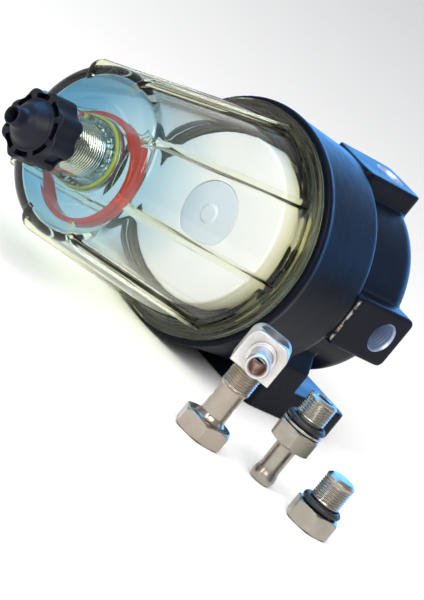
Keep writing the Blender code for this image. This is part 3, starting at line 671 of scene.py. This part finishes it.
def isMachined(centre):
    # whether a face lies in a port, on the vent's seat or in a foot hole
    for direction in portDirections.values():
        away = centre - onAxis(portSize["at"])
        height = away.dot(direction)
        reach = (portSize["thread"] + portSize["lip"] + 0.02) * mm
        if (away - direction * height).length < reach and height > 30 * mm:
            return True
    fromVent = centre - onAxis(ventSize["seatAt"] + 0.5, z=ventSize["up"])
    onSeat = Vector((fromVent.x, fromVent.z)).length < (ventSize["seat"] + 0.1) * mm
    if abs(fromVent.y) < 1.2 * mm and onSeat:
        return True
    fromHole = min((Vector((centre.x, centre.y, 0)) - place).length for place in footHolePlaces())
    return centre.z < (footHole["depth"] + 0.5) * mm and fromHole < (footHole["mouth"] + 0.1) * mm


def makeHead():
    head = headBody()
    drillHead(head)
    crisp(head, 38)
    dress(head, "head", "black_paint", [painted, portMetal], "head_casting")
    for face in head.data.polygons:
        if isMachined(face.center):
            face.material_index = 1


makeHead()
print("head made")


# Bowl: a clear shell with eight outside ribs, its rows following the outline and its columns the ribs

bowlSize = {"spigot": 47.2, "spigotLength": 10.0, "flange": 56.0, "flangeFace": -0.6, "flangeThick": 4.0,
            "mouthWall": 50.0, "endWall": 39.8, "thickness": 4.4, "rounding": 7.0, "end": -103.0,
            "boss": 15.2, "bossTip": 14.2, "bossEnd": -121.5, "hole": 11.3,
            "ribs": 8, "firstRib": -4.0, "ribHeight": 3.2, "ribFrom": -6.0,
            "ribInner": 33.0, "ribStep": 1.0, "plainColumns": 16, "bossReach": 24.5}
# across a rib: (offset from its middle in millimetres, share of its height)
ribSection = [(-2.5, 0.0), (-1.95, 0.06), (-1.65, 0.3), (-1.55, 0.72), (-1.35, 0.94), (-1.0, 1.0),
              (0.0, 1.0), (1.0, 1.0), (1.35, 0.94), (1.55, 0.72), (1.65, 0.3), (1.95, 0.06), (2.5, 0.0)]


def bowlOutlines():
    s = bowlSize
    low = s["flangeFace"] - s["flangeThick"]
    centre = (s["endWall"] - s["rounding"], s["end"] + s["rounding"])
    outer = rounded([(s["spigot"], s["spigotLength"]), (s["spigot"], s["flangeFace"], 0.4),
                     (s["flange"], s["flangeFace"], 0.8), (s["flange"], low, 0.8), (53.6, low, 0.5),
                     (53.6, -7.0, 0.8), (51.4, -7.0, 0.5), (51.4, -9.6, 0.8), (s["mouthWall"], -10.6, 0.8),
                     (s["endWall"], centre[1])], pieces=5)[:-1]
    count = 14
    start = outer[-1]
    outer += [(start[0] + (s["endWall"] - start[0]) * i / count,
               start[1] + (centre[1] - start[1]) * i / count) for i in range(1, count)]
    outer += arc(centre, s["rounding"], 0, -90, 14)
    outer += [(s["ribInner"] - 0.8, s["end"]), (s["ribInner"] - 1.6, s["end"]), (24.0, s["end"])]
    outer += rounded([(24.0, s["end"]), (17.5, s["end"], 2.2), (s["boss"], s["end"] - 2.5, 2.0),
                      (s["bossTip"], s["bossEnd"], 0.8), (s["hole"], s["bossEnd"], 0.4)], pieces=5)[1:]
    inner = [(s["hole"], s["end"] + s["thickness"]), (24.0, s["end"] + s["thickness"])]
    inner += arc(centre, s["rounding"] - s["thickness"], -90, 0, 10)
    inner += rounded([(s["endWall"] - s["thickness"], centre[1]), (43.8, -8.0, 2.0),
                      (43.8, s["spigotLength"], 0.6), (s["spigot"], s["spigotLength"])])[1:]
    return outer, inner


def ribRise(radius, station):
    # how far a rib stands out from the shell at a point of the outer outline, along the outline's normal
    s = bowlSize
    corner = s["end"] + s["rounding"]
    if station > s["ribFrom"] or radius < s["ribInner"] - 0.5:
        return 0.0
    if station > corner:
        crest = s["endWall"] + s["ribHeight"] + (station - corner) / (s["ribFrom"] - corner) * 10.6
        return max(0.0, min(crest, 54.2) - radius)
    down = (corner - station) / s["rounding"]
    return s["ribHeight"] * (1 - down) + s["ribStep"] * down


def ribDirection(outer, i):
    # which way a rib stands out: sideways on the wall, and square to the outline round the end
    flat = Vector((1, 0))
    if not 0 < i < len(outer) - 1 or outer[i][1] > bowlSize["end"] + bowlSize["rounding"]:
        return flat
    ahead = Vector(outer[i + 1]) - Vector(outer[i - 1])
    return Vector((-ahead.y, ahead.x)).normalized()


def bowlColumns(radius):
    # the angle and the share of a rib's height at every column of one row
    s = bowlSize
    sector = math.tau / s["ribs"]
    spots = [(offset / radius, share) for offset, share in ribSection]
    edge = spots[-1][0]
    gapStep = (sector - 2 * edge) / (s["plainColumns"] + 1)
    spots += [(edge + gapStep * k, 0.0) for k in range(1, s["plainColumns"] + 1)]
    return [(math.radians(s["firstRib"]) + rib * sector + turn, share)
            for rib in range(s["ribs"]) for turn, share in spots]


def makeBowl():
    outer, inner = bowlOutlines()
    points = outer + inner
    builder = bmesh.new()
    rows, risen = [], []
    for i, (radius, station) in enumerate(points):
        rise = ribRise(radius, station) if i < len(outer) else 0.0
        direction = ribDirection(outer, i)
        row = []
        for angle, share in bowlColumns(radius):
            r = radius + direction.x * rise * share
            h = station + direction.y * rise * share
            local = Vector((r * math.cos(angle), r * math.sin(angle), h)) * mm
            row.append(builder.verts.new(onAxis(0) + alongAxis @ local))
        rows.append(row)
        risen.append([rise * share > 0.15 for angle, share in bowlColumns(radius)])
    for i, row in enumerate(rows):
        j = (i + 1) % len(rows)
        atBoss = max(points[i][0], points[j][0]) < bowlSize["bossReach"]
        for k in range(len(row)):
            m = (k + 1) % len(row)
            face = builder.faces.new((row[k], row[m], rows[j][m], rows[j][k]))
            face.material_index = 1 if risen[i][k] or risen[j][m] else 2 if atBoss else 0
    bowl = newPiece("clearBowl", builder, 40)
    indices = [face.material_index for face in bowl.data.polygons]
    dress(bowl, "bowl", "clear_plastic", [clearBody, clearEdge, clearBoss], "bowl")
    for face, index in zip(bowl.data.polygons, indices):
        face.material_index = index
    return bowl


clearBowl = makeBowl()


def sealRing(name, middle, section, place, turn, body, material, materialSlot, node, steps=128):
    outline = arc((middle, 0.0), section, 0, 360, 24)[:-1]
    ring = lathe(name, outline, steps, place, turn, ring=True)
    return dress(ring, body, materialSlot, [material], node)


sealRing("bowlSeal", 50.7, 1.3, onAxis(1.05), alongAxis, "bowl_seal", rubber, "black_rubber", "bowl_o_ring")
print("bowl made")


# Drain: threaded stub, its yellow seal, and the lobed knob with a spout

stubSize = {"radius": 11.0, "end": -130.0, "bore": 4.8, "flange": 16.6, "flangeHigh": -93.2,
            "flangeLow": -96.4, "threadFrom": -100.0, "pitch": 1.5, "threadDepth": 0.95,
            "teeth": 24, "toothHeight": 0.9, "toothInner": 11.5, "toothOuter": 14.5}
sealSize = {"inner": 14.8, "outer": 16.4, "low": -98.3, "high": -96.7}


def makeStub():
    s = stubSize
    outline = rounded([(s["flange"] - 0.4, s["flangeHigh"]), (s["flange"], s["flangeHigh"] - 0.4),
                       (s["flange"], s["flangeLow"], 0.5), (14.6, s["flangeLow"]), (14.2, s["flangeLow"]),
                       (11.8, s["flangeLow"]), (11.4, s["flangeLow"]), (s["radius"], s["flangeLow"])])
    outline += rowsBetween(s["radius"], s["threadFrom"], s["end"] + 1.2, s["pitch"] / 8)
    outline += [(s["radius"] - 1.2, s["end"]), (s["bore"] + 0.4, s["end"]),
                (s["bore"], s["end"] + 0.4), (s["bore"], s["flangeHigh"])]
    cutThread = threaded(s["radius"], s["end"] + 1.0, s["threadFrom"] + 1.0, s["pitch"],
                         s["threadDepth"], hand=-1)

    def toothed(r, h, angle):
        if s["toothInner"] < r < s["toothOuter"] and abs(h - s["flangeLow"]) < 0.01:
            h -= s["toothHeight"] * abs((angle * s["teeth"] / math.tau) % 1 * 2 - 1)
        return r, h
    stub = lathe("drainStub", outline, 192, onAxis(0), alongAxis, both(cutThread, toothed), ring=True)
    dress(stub, "bowl", "nickel_plate", [axisNickel], "drain_insert")


makeStub()


def flatRing(size, innerCorner, outerCorner):
    return rounded([(size["outer"], size["high"], outerCorner), (size["outer"], size["low"], outerCorner),
                    (size["inner"], size["low"], innerCorner), (size["inner"], size["high"], innerCorner)],
                   ring=True)


stubSeal = lathe("stubSeal", flatRing(sealSize, 0.5, 0.5), 96, onAxis(0), alongAxis, ring=True)
dress(stubSeal, "bowl", "yellow_rubber", [yellowRubber], "insert_seal")

floatSize = {"inner": 23.0, "outer": 25.2, "low": -92.4, "high": -84.4, "drop": 5.8}
floatBand = lathe("floatBand", flatRing(floatSize, 0.5, 0.7), 128, onAxis(0, z=-floatSize["drop"]),
                  alongAxis, ring=True)
dress(floatBand, "float", "red_plastic", [redPlastic], "float_ring")

knobSize = {"radius": 16.6, "lobes": 8, "valley": 2.2, "back": -123.0, "front": -137.0,
            "hub": 11.0, "spout": 4.2, "spoutBore": 3.2, "spoutEnd": -151.0,
            "pocketInner": 11.9, "pocketOuter": 14.2, "pocketGap": 0.11, "pocketDepth": 4.5,
            "recessLobes": (3, 7), "bore": 11.3, "boreEnd": -131.0, "stemBore": 4.5,
            "voxel": 0.36, "softening": 5}


def makeKnob():
    s = knobSize
    count = s["lobes"] * 24
    lobed = []
    for i in range(count):
        a = math.tau * i / count
        r = s["radius"] - s["valley"] * (1 - math.cos(s["lobes"] * a)) / 2
        lobed.append((r * math.cos(a), r * math.sin(a)))
    middle = (s["back"] + s["front"]) / 2
    skirt = prism("skirt", lobed, s["back"] - s["front"], onAxis(middle), alongAxis)
    hub = rounded([(0.0, -130.0), (s["hub"], -130.0), (s["hub"], -137.6, 0.8), (7.6, -142.5, 1.0),
                   (4.7, -144.5, 1.2), (s["spout"], -146.0, 0.8), (s["spout"], s["spoutEnd"], 0.5),
                   (0.0, s["spoutEnd"])])
    knob = castForm("drainKnob", [skirt, lathe("hub", hub, 96, onAxis(0), alongAxis)], s["voxel"],
                    s["softening"])
    cutters = []
    gap, proud = s["pocketGap"], 2.5
    for number in range(s["lobes"]):
        start = math.tau * (number / s["lobes"]) + gap
        span = math.tau / s["lobes"] - 2 * gap
        ring = [(r * math.cos(a), r * math.sin(a))
                for r, order in ((s["pocketOuter"], 1), (s["pocketInner"], -1))
                for a in [start + span * k / 6 for k in range(7)][::order]]
        cutters.append(prism("pocket", ring, s["pocketDepth"] + proud,
                             onAxis(s["front"] + (s["pocketDepth"] - proud) / 2), alongAxis))
    recess = roundedBox(3.3, 2.9, [0.6] * 4)
    for number in s["recessLobes"]:  # two moulded recesses in the skirt, opposite each other
        out, turn = facing(math.tau * (number + 0.5) / s["lobes"])
        cutters.append(prism("recess", recess, 1.6, onAxis(-128.0) + out * 14.4 * mm, turn))
    inside = [(0.0, s["back"] + 2.0), (s["bore"], s["back"] + 2.0), (s["bore"], s["boreEnd"]),
              (s["stemBore"], s["boreEnd"]), (s["stemBore"], -138.0), (s["spoutBore"], -138.0),
              (s["spoutBore"], s["spoutEnd"] + 0.5),
              (s["spoutBore"] + 0.5, s["spoutEnd"] - 0.1), (s["spoutBore"] + 0.5, s["spoutEnd"] - 2.0),
              (0.0, s["spoutEnd"] - 2.0)]
    cutters.append(lathe("knobBore", inside, 64, onAxis(0), alongAxis))
    carve(knob, cutters, solver="MANIFOLD")
    crisp(knob, 40)
    dress(knob, "drain", "black_plastic", [knobPlastic], "drain_knob")


makeKnob()
print("drain made")


# Cartridge: the white cage end and its pale hub nut

cageSize = {"radius": 40.0, "from": -10.0, "to": 64.0, "nut": 15.6}


def makeCage():
    s = cageSize
    outline = rounded([(s["radius"], s["to"], 1.0), (s["radius"], s["from"], 1.6), (15.75, s["from"], 0.3),
                       (15.75, s["from"] + 2.5), (13.5, s["from"] + 2.5), (13.5, s["from"] + 5.0),
                       (s["radius"] - 2.0, s["from"] + 5.0), (s["radius"] - 2.0, s["to"] - 3.5),
                       (15.5, s["to"] - 3.5), (15.5, s["to"], 0.5)], ring=True)
    cage = lathe("cartridgeCage", outline, 128, onAxis(0), alongAxis, ring=True)
    windows = []
    for number in range(3):  # each cutter passes right through and opens two windows
        turn = facing(math.pi / 3 * number)[1]
        windows.append(prism("window", roundedBox(27.0, 14.0, [2.5] * 4), 100.0, onAxis(30.0), turn))
    carve(cage, windows)
    crisp(cage)
    dress(cage, "cartridge", "white_plastic", [whitePlastic], "cartridge_cage")
    nut = rounded([(0.0, -9.0), (3.3, -9.0), (3.3, -4.3), (13.0, -4.3), (13.0, -7.7), (s["nut"], -7.7, 0.2),
                   (s["nut"], -9.8, 1.0), (4.6, -9.6, 0.6), (4.0, -10.4, 0.5), (0.0, -10.4)])
    hub = lathe("cartridgeHub", nut, 96, onAxis(0), alongAxis)
    dress(hub, "cartridge_nut", "hub_plastic", [hubPlastic], "cartridge_nut")


makeCage()
print("cartridge made")


# Vent screw in the head's closed end

def makeVent():
    s = ventSize
    seat = onAxis(s["seatAt"], z=s["up"])
    outline = rounded([(0.0, s["headTop"]), (6.0, s["headTop"], 0.3), (s["head"], 4.8, 0.4),
                       (s["head"], 1.8, 0.4), (s["thread"], 1.8, 0.3)])
    outline += rowsBetween(s["thread"], s["threadHigh"], s["threadLow"], 0.16)
    outline += [(3.4, s["threadLow"] - 0.6), (0.0, s["threadLow"] - 0.6)]
    cutThread = threaded(s["thread"], s["threadLow"], s["threadHigh"], s["pitch"], s["threadDepth"], hand=-1)
    screw = lathe("ventScrew", outline, 64, seat, alongAxis, cutThread)
    slot = prism("slot", roundedBox(8.0, 0.8, [0.1] * 4), 4.0, seat + Vector((0, 6.0 * mm, 0)), alongAxis)
    carve(screw, [slot])
    crisp(screw)
    dress(screw, "vent", "brass", [brass], "vent_screw")


makeVent()


# Loose fittings, which stand upright on the floor

fitting = {"thread": 7.0, "pitch": 1.25, "threadDepth": 0.5, "relief": 6.2, "sealMiddle": 8.1,
           "sealSection": 1.5, "steps": 96, "sharpAngle": 28}
hexChamfer = {"inset": 0.5, "rise": 1.05, "rows": 8}
boltSize = {"node": "banjo_bolt", "flats": 22.0, "turn": 15.0, "hexTop": 9.0, "neck": 6.1,
            "threadFrom": 26.5, "top": 42.0, "bore": 3.5, "boreEnd": 12.0, "hole": 2.2, "holeHeight": 18.0}
adapterSize = {"node": "adapter_body", "flats": 19.0, "turn": 9.0, "hexLow": 20.0, "hexTop": 29.0,
               "threadFrom": 35.0, "top": 45.0, "bore": 3.5, "tail": 4.8, "bead": 5.75, "sealHeight": 32.3}
washerSize = {"inner": 7.5, "outer": 9.6, "low": 29.3, "high": 30.4}
plugSize = {"node": "plug_body", "flats": 20.0, "turn": 17.0, "hexTop": 9.5, "threadFrom": 13.5, "top": 26.0}
banjo = {"height": 45.5, "halfWidth": 10.0, "halfHeight": 9.0, "halfDepth": 9.8, "corner": 5.5,
         "edge": 0.45, "eye": 7.3, "socket": 7.6, "ringMarks": (8.15, 8.75), "markWidth": 0.34,
         "tail": 4.9, "bead": 5.6, "collar": 6.6, "tailBore": 3.75, "tailEnd": 22.0,
         "tailDirection": Vector((0.653, -0.758, 0.0)).normalized()}


def hexOutline(flats, low, high):
    # the outside of a hexagon head, with enough rows for its chamfers to cut curves across the flats
    corner = flats / math.sqrt(3)
    face = flats / 2 - hexChamfer["inset"]
    rise, rows = hexChamfer["rise"], hexChamfer["rows"]
    chamfer = [(face + (corner - face) * (i / rows), rise * (i / rows) ** 1.2) for i in range(rows + 1)]
    path = [(r, high - h) for r, h in chamfer]
    path += [(corner, high - rise - 1.0), (corner, low + rise + 1.0)]
    return path + [(r, low + h) for r, h in reversed(chamfer)]


def threadRows(s, start):
    # the rows of a fitting's thread, from a start below its top down to the relief
    return rowsBetween(fitting["thread"], s["top"] - start, s["threadFrom"], fitting["pitch"] / 8)


def relief(s):
    # the undercut between a thread and the hexagon, where the seal sits
    return [(fitting["relief"], s["threadFrom"] - 0.6), (fitting["relief"], s["hexTop"] + 0.05)]


def turnedFitting(name, outline, s, hexLow, start, ring=False):
    # a round bar with its hexagon milled and its thread cut
    milled = hexagonal(s["flats"], s["turn"], hexLow, s["hexTop"] - 0.01)
    cutThread = threaded(fitting["thread"], s["threadFrom"], s["top"] - start, fitting["pitch"],
                         fitting["threadDepth"])
    return lathe(name, outline, fitting["steps"], footOf(s["node"]), shape=both(milled, cutThread),
                 ring=ring, sharpAngle=fitting["sharpAngle"])


def fittingSeal(name, s, height, node):
    sealRing(name, fitting["sealMiddle"], fitting["sealSection"],
             footOf(s["node"]) + Vector((0, 0, height * mm)), upright, "head", rubber, "black_rubber",
             node, fitting["steps"])


def makeBolt():
    s = boltSize
    r = fitting["thread"]
    outline = rounded([(0.0, s["boreEnd"]), (s["bore"], s["boreEnd"] + 0.6), (s["bore"], s["top"] - 0.4),
                       (s["bore"] + 0.5, s["top"]), (r - 1.0, s["top"])])
    outline += threadRows(s, 1.0)
    outline += rounded([(r, s["threadFrom"]), (s["neck"], s["threadFrom"] - 1.2, 0.8),
                        (s["neck"], s["hexTop"] + 2.2, 2.5), (7.4, s["hexTop"] + 0.3, 0.3),
                        (10.0, s["hexTop"], 0.1)])[1:-1]
    outline += hexOutline(s["flats"], 0.0, s["hexTop"]) + [(0.0, 0.0)]
    bolt = turnedFitting("banjoBolt", outline, s, 0.0, 0.9)
    across = Vector((0.78, 0.625, 0.0)).normalized()
    turn = Matrix((Vector((0, 0, 1)), across.cross(Vector((0, 0, 1))), across)).transposed()
    place = footOf(s["node"]) + Vector((0, 0, s["holeHeight"] * mm))
    carve(bolt, [lathe("hole", bar(s["hole"], 10.0, -10.0), 32, place, turn)])
    crisp(bolt, fitting["sharpAngle"])
    dress(bolt, "head", "nickel_plate", [copperedNickel], "banjo_bolt")


def makeAdapter():
    s = adapterSize
    outline = [(s["bore"], 0.6), (s["bore"], s["top"] - 0.5), (s["bore"] + 0.5, s["top"]),
               (fitting["thread"] - 1.0, s["top"])]
    outline += threadRows(s, 1.0) + relief(s) + hexOutline(s["flats"], s["hexLow"], s["hexTop"])
    outline += rounded([(8.0, s["hexLow"]), (6.2, s["hexLow"], 0.1), (5.0, s["hexLow"] - 1.6, 1.0),
                        (s["tail"], 7.0, 2.0), (s["bead"], 3.9, 1.4), (s["bead"], 2.0, 1.2),
                        (5.0, 0.2, 0.5), (4.4, 0.0, 0.1), (s["bore"], 0.6)], pieces=6)[1:-1]
    adapter = turnedFitting("hoseAdapter", outline, s, s["hexLow"] + 0.01, 0.9, ring=True)
    dress(adapter, "head", "nickel_plate", [nickel], "adapter_body")
    washer = lathe("adapterWasher", flatRing(washerSize, 0.0, 0.25), fitting["steps"], footOf(s["node"]),
                   ring=True)
    dress(washer, "head", "stainless_steel", [washerSteel], "adapter_washer")
    fittingSeal("adapterSeal", s, s["sealHeight"], "adapter_o_ring")


def makePlug():
    s = plugSize
    r = fitting["thread"]
    outline = rounded([(0.0, s["top"]), (r - 1.6, s["top"], 0.5), (r, s["top"] - 1.4, 0.3),
                       (r, s["top"] - 3.0)])[:-1]
    outline += threadRows(s, 2.4) + relief(s) + hexOutline(s["flats"], 0.0, s["hexTop"]) + [(0.0, 0.0)]
    plug = turnedFitting("blankingPlug", outline, s, 0.0, 2.3)
    dress(plug, "head", "nickel_plate", [nickel], "plug_body")
    fittingSeal("plugSeal", s, s["hexTop"] + 0.3 + fitting["sealSection"], "plug_o_ring")


makeBolt()
makeAdapter()
makePlug()


def makeBanjo():
    s = banjo
    up = Vector((0, 0, 1))
    out = s["tailDirection"]
    centre = footOf("banjo_bolt") + up * s["height"] * mm
    turn = Matrix((up.cross(out), up, out)).transposed()
    outline = roundedBox(s["halfWidth"], s["halfHeight"], [s["corner"], s["corner"], 0.4, 0.4], 10)
    block = prism("banjoBlock", outline, 2 * s["halfDepth"], centre, turn)
    soften = block.modifiers.new("edges", "BEVEL")
    soften.width = s["edge"] * mm
    soften.segments = 3
    soften.limit_method = "ANGLE"
    soften.angle_limit = math.radians(40)
    settle(block)
    eye = lathe("eye", bar(s["eye"], 15.0, -15.0), 96, centre)
    front = centre + out * s["halfDepth"] * mm
    socket = lathe("socket", [(0.0, 2.0), (s["socket"], 2.0), (s["socket"], -0.5), (s["tail"], -0.5),
                              (s["tail"], -6.0), (0.0, -6.0)], 96, front, turn)
    cutters = [eye, socket]
    for radius in s["ringMarks"]:
        mark = {"inner": radius - s["markWidth"] / 2, "outer": radius + s["markWidth"] / 2,
                "low": -0.16, "high": 1.0}
        cutters.append(lathe("ringMark", flatRing(mark, 0.0, 0.0), 96, front, turn, ring=True))
    carve(block, cutters)
    crisp(block, 30)
    dress(block, "banjo", "nickel_plate", [blockNickel], "banjo_block")
    end, tail, bead, collar, bore = (s[key] for key in ("tailEnd", "tail", "bead", "collar", "tailBore"))
    outline = rounded([(4.3, end), (5.0, end, 0.3), (bead, end - 1.4, 0.5), (bead, end - 3.0, 1.0),
                       (tail, end - 5.0, 2.0), (tail, 2.4, 0.8), (collar, 2.4, 0.5), (collar, -0.2, 0.2),
                       (4.6, -0.2), (4.6, -2.2), (bore, -2.2)], pieces=6) + [(bore, end - 0.6)]
    hoseTail = lathe("banjoTail", outline, 96, front, turn, ring=True)
    dress(hoseTail, "banjo", "copper_bore_nickel", [blockNickel, copperBore], "banjo_hose_tail")
    for face in hoseTail.data.polygons:
        away = face.center - front
        height = away.dot(out)
        if (away - out * height).length < (bore + 0.05) * mm:
            face.material_index = 1


makeBanjo()
print("fittings made")

# CAD nodes that stay, each with its own finish
keptFinishes = {"magnet_rod": steel, "magnet_sleeve": steel, "sleeve_cap": capPlastic,
                "strainer_mesh": wovenSteel(), "cartridge_seal": rubber, "vent_seal": rubber,
                "drain_stem": brass, "stem_o_ring": rubber}
for name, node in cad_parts.items():
    if node.hide_render:
        continue
    finish = keptFinishes.get(name, ferrite if name.startswith("ring_magnet") else steel)
    node.data.materials.clear()
    node.data.materials.append(finish)


# Floor, lamps and camera

def makeFloor():
    made, tree, shader = startMaterial("paperFloor", Roughness=0.9)
    place = addNode(tree, "ShaderNodeTexCoord").outputs["Object"]
    shade = noiseNode(tree, place, 3.0, 2.0)
    tree.links.new(blendColour(tree, rangeNode(tree, shade, 0.3, 0.7), (0.93, 0.93, 0.93, 1),
                               (0.95, 0.95, 0.95, 1)), shader.inputs["Base Color"])
    builder = bmesh.new()
    bmesh.ops.create_grid(builder, x_segments=8, y_segments=8, size=8.0)
    floor = newPiece("floor", builder)
    floor.location.z = -0.0002
    floor.data.materials.append(made)
    return floor


floor = makeFloor()
middle = Vector((0.031, -0.081, 0.033))
lamps = [
    {"name": "keyLamp", "azimuth": 48, "elevation": 34, "away": 1.3, "size": (0.7, 0.7), "power": 9.0,
     "colour": (1.0, 0.98, 0.95)},
    {"name": "stripLamp", "azimuth": 8, "elevation": 30, "away": 1.1, "size": (0.10, 0.9), "power": 3.2,
     "colour": (1.0, 1.0, 1.0)},
    {"name": "skyLamp", "azimuth": -95, "elevation": 62, "away": 1.2, "size": (1.1, 1.1), "power": 20.0,
     "colour": (0.05, 0.36, 0.85), "floor": "EXCLUDE"},
    {"name": "rimLamp", "azimuth": 202, "elevation": 16, "away": 1.0, "size": (1.8, 0.45), "power": 16.0,
     "colour": (0.02, 0.24, 0.66), "floor": "EXCLUDE"},
    {"name": "floorLamp", "azimuth": 20, "elevation": 70, "away": 2.2, "size": (2.5, 2.5), "power": 36.0,
     "colour": (1.0, 1.0, 1.0), "floor": "INCLUDE"},
]
worldSettings = {"colour": (0.97, 0.98, 1.0), "strength": 0.52}
cameraSet = {"azimuth": 38.66, "elevation": 11.16, "roll": 39.06, "distance": 1.8312, "lens": 353.5,
             "target": Vector((0.0313, -0.0806, 0.0328))}


def lookFrom(azimuth, elevation):
    a, e = math.radians(azimuth), math.radians(elevation)
    return Vector((math.sin(a) * math.cos(e), -math.cos(a) * math.cos(e), math.sin(e)))


for lamp in lamps:
    data = bpy.data.lights.new(lamp["name"], "AREA")
    data.shape = "RECTANGLE"
    data.size, data.size_y = lamp["size"]
    data.energy = lamp["power"]
    data.color = lamp["colour"]
    lampObject = bpy.data.objects.new(lamp["name"], data)
    scene.collection.objects.link(lampObject)
    back = lookFrom(lamp["azimuth"], lamp["elevation"])
    lampObject.location = middle + back * lamp["away"]
    lampObject.rotation_euler = back.to_track_quat("Z", "Y").to_euler()
    if "floor" in lamp:  # blue lamps leave the floor and bowl white, and the floor has its own lamp
        chosen = bpy.data.collections.new(lamp["name"] + "Choice")
        for receiver in [floor] + ([clearBowl] if lamp["floor"] == "EXCLUDE" else []):
            chosen.objects.link(receiver)
        lampObject.light_linking.receiver_collection = chosen
        for choice in chosen.collection_objects:
            choice.light_linking.link_state = lamp["floor"]

world = bpy.data.worlds.new("studio")
world.use_nodes = True
world.node_tree.nodes["Background"].inputs["Color"].default_value = (*worldSettings["colour"], 1)
world.node_tree.nodes["Background"].inputs["Strength"].default_value = worldSettings["strength"]
scene.world = world

back = lookFrom(cameraSet["azimuth"], cameraSet["elevation"])
level = Vector((0, 0, 1)).cross(back).normalized()
turn = Matrix((level, back.cross(level), back)).transposed()
cameraData = bpy.data.cameras.new("camera")
cameraData.lens = cameraSet["lens"]
cameraData.sensor_fit = "HORIZONTAL"
cameraData.sensor_width = 36.0
cameraData.clip_start, cameraData.clip_end = 0.01, 50.0
camera = bpy.data.objects.new("camera", cameraData)
scene.collection.objects.link(camera)
rolled = turn @ Matrix.Rotation(math.radians(cameraSet["roll"]), 3, "Z")
camera.matrix_world = Matrix.Translation(cameraSet["target"] + back * cameraSet["distance"]) @ rolled.to_4x4()
scene.camera = camera
scene.view_settings.view_transform = "Standard"
print("stage set")
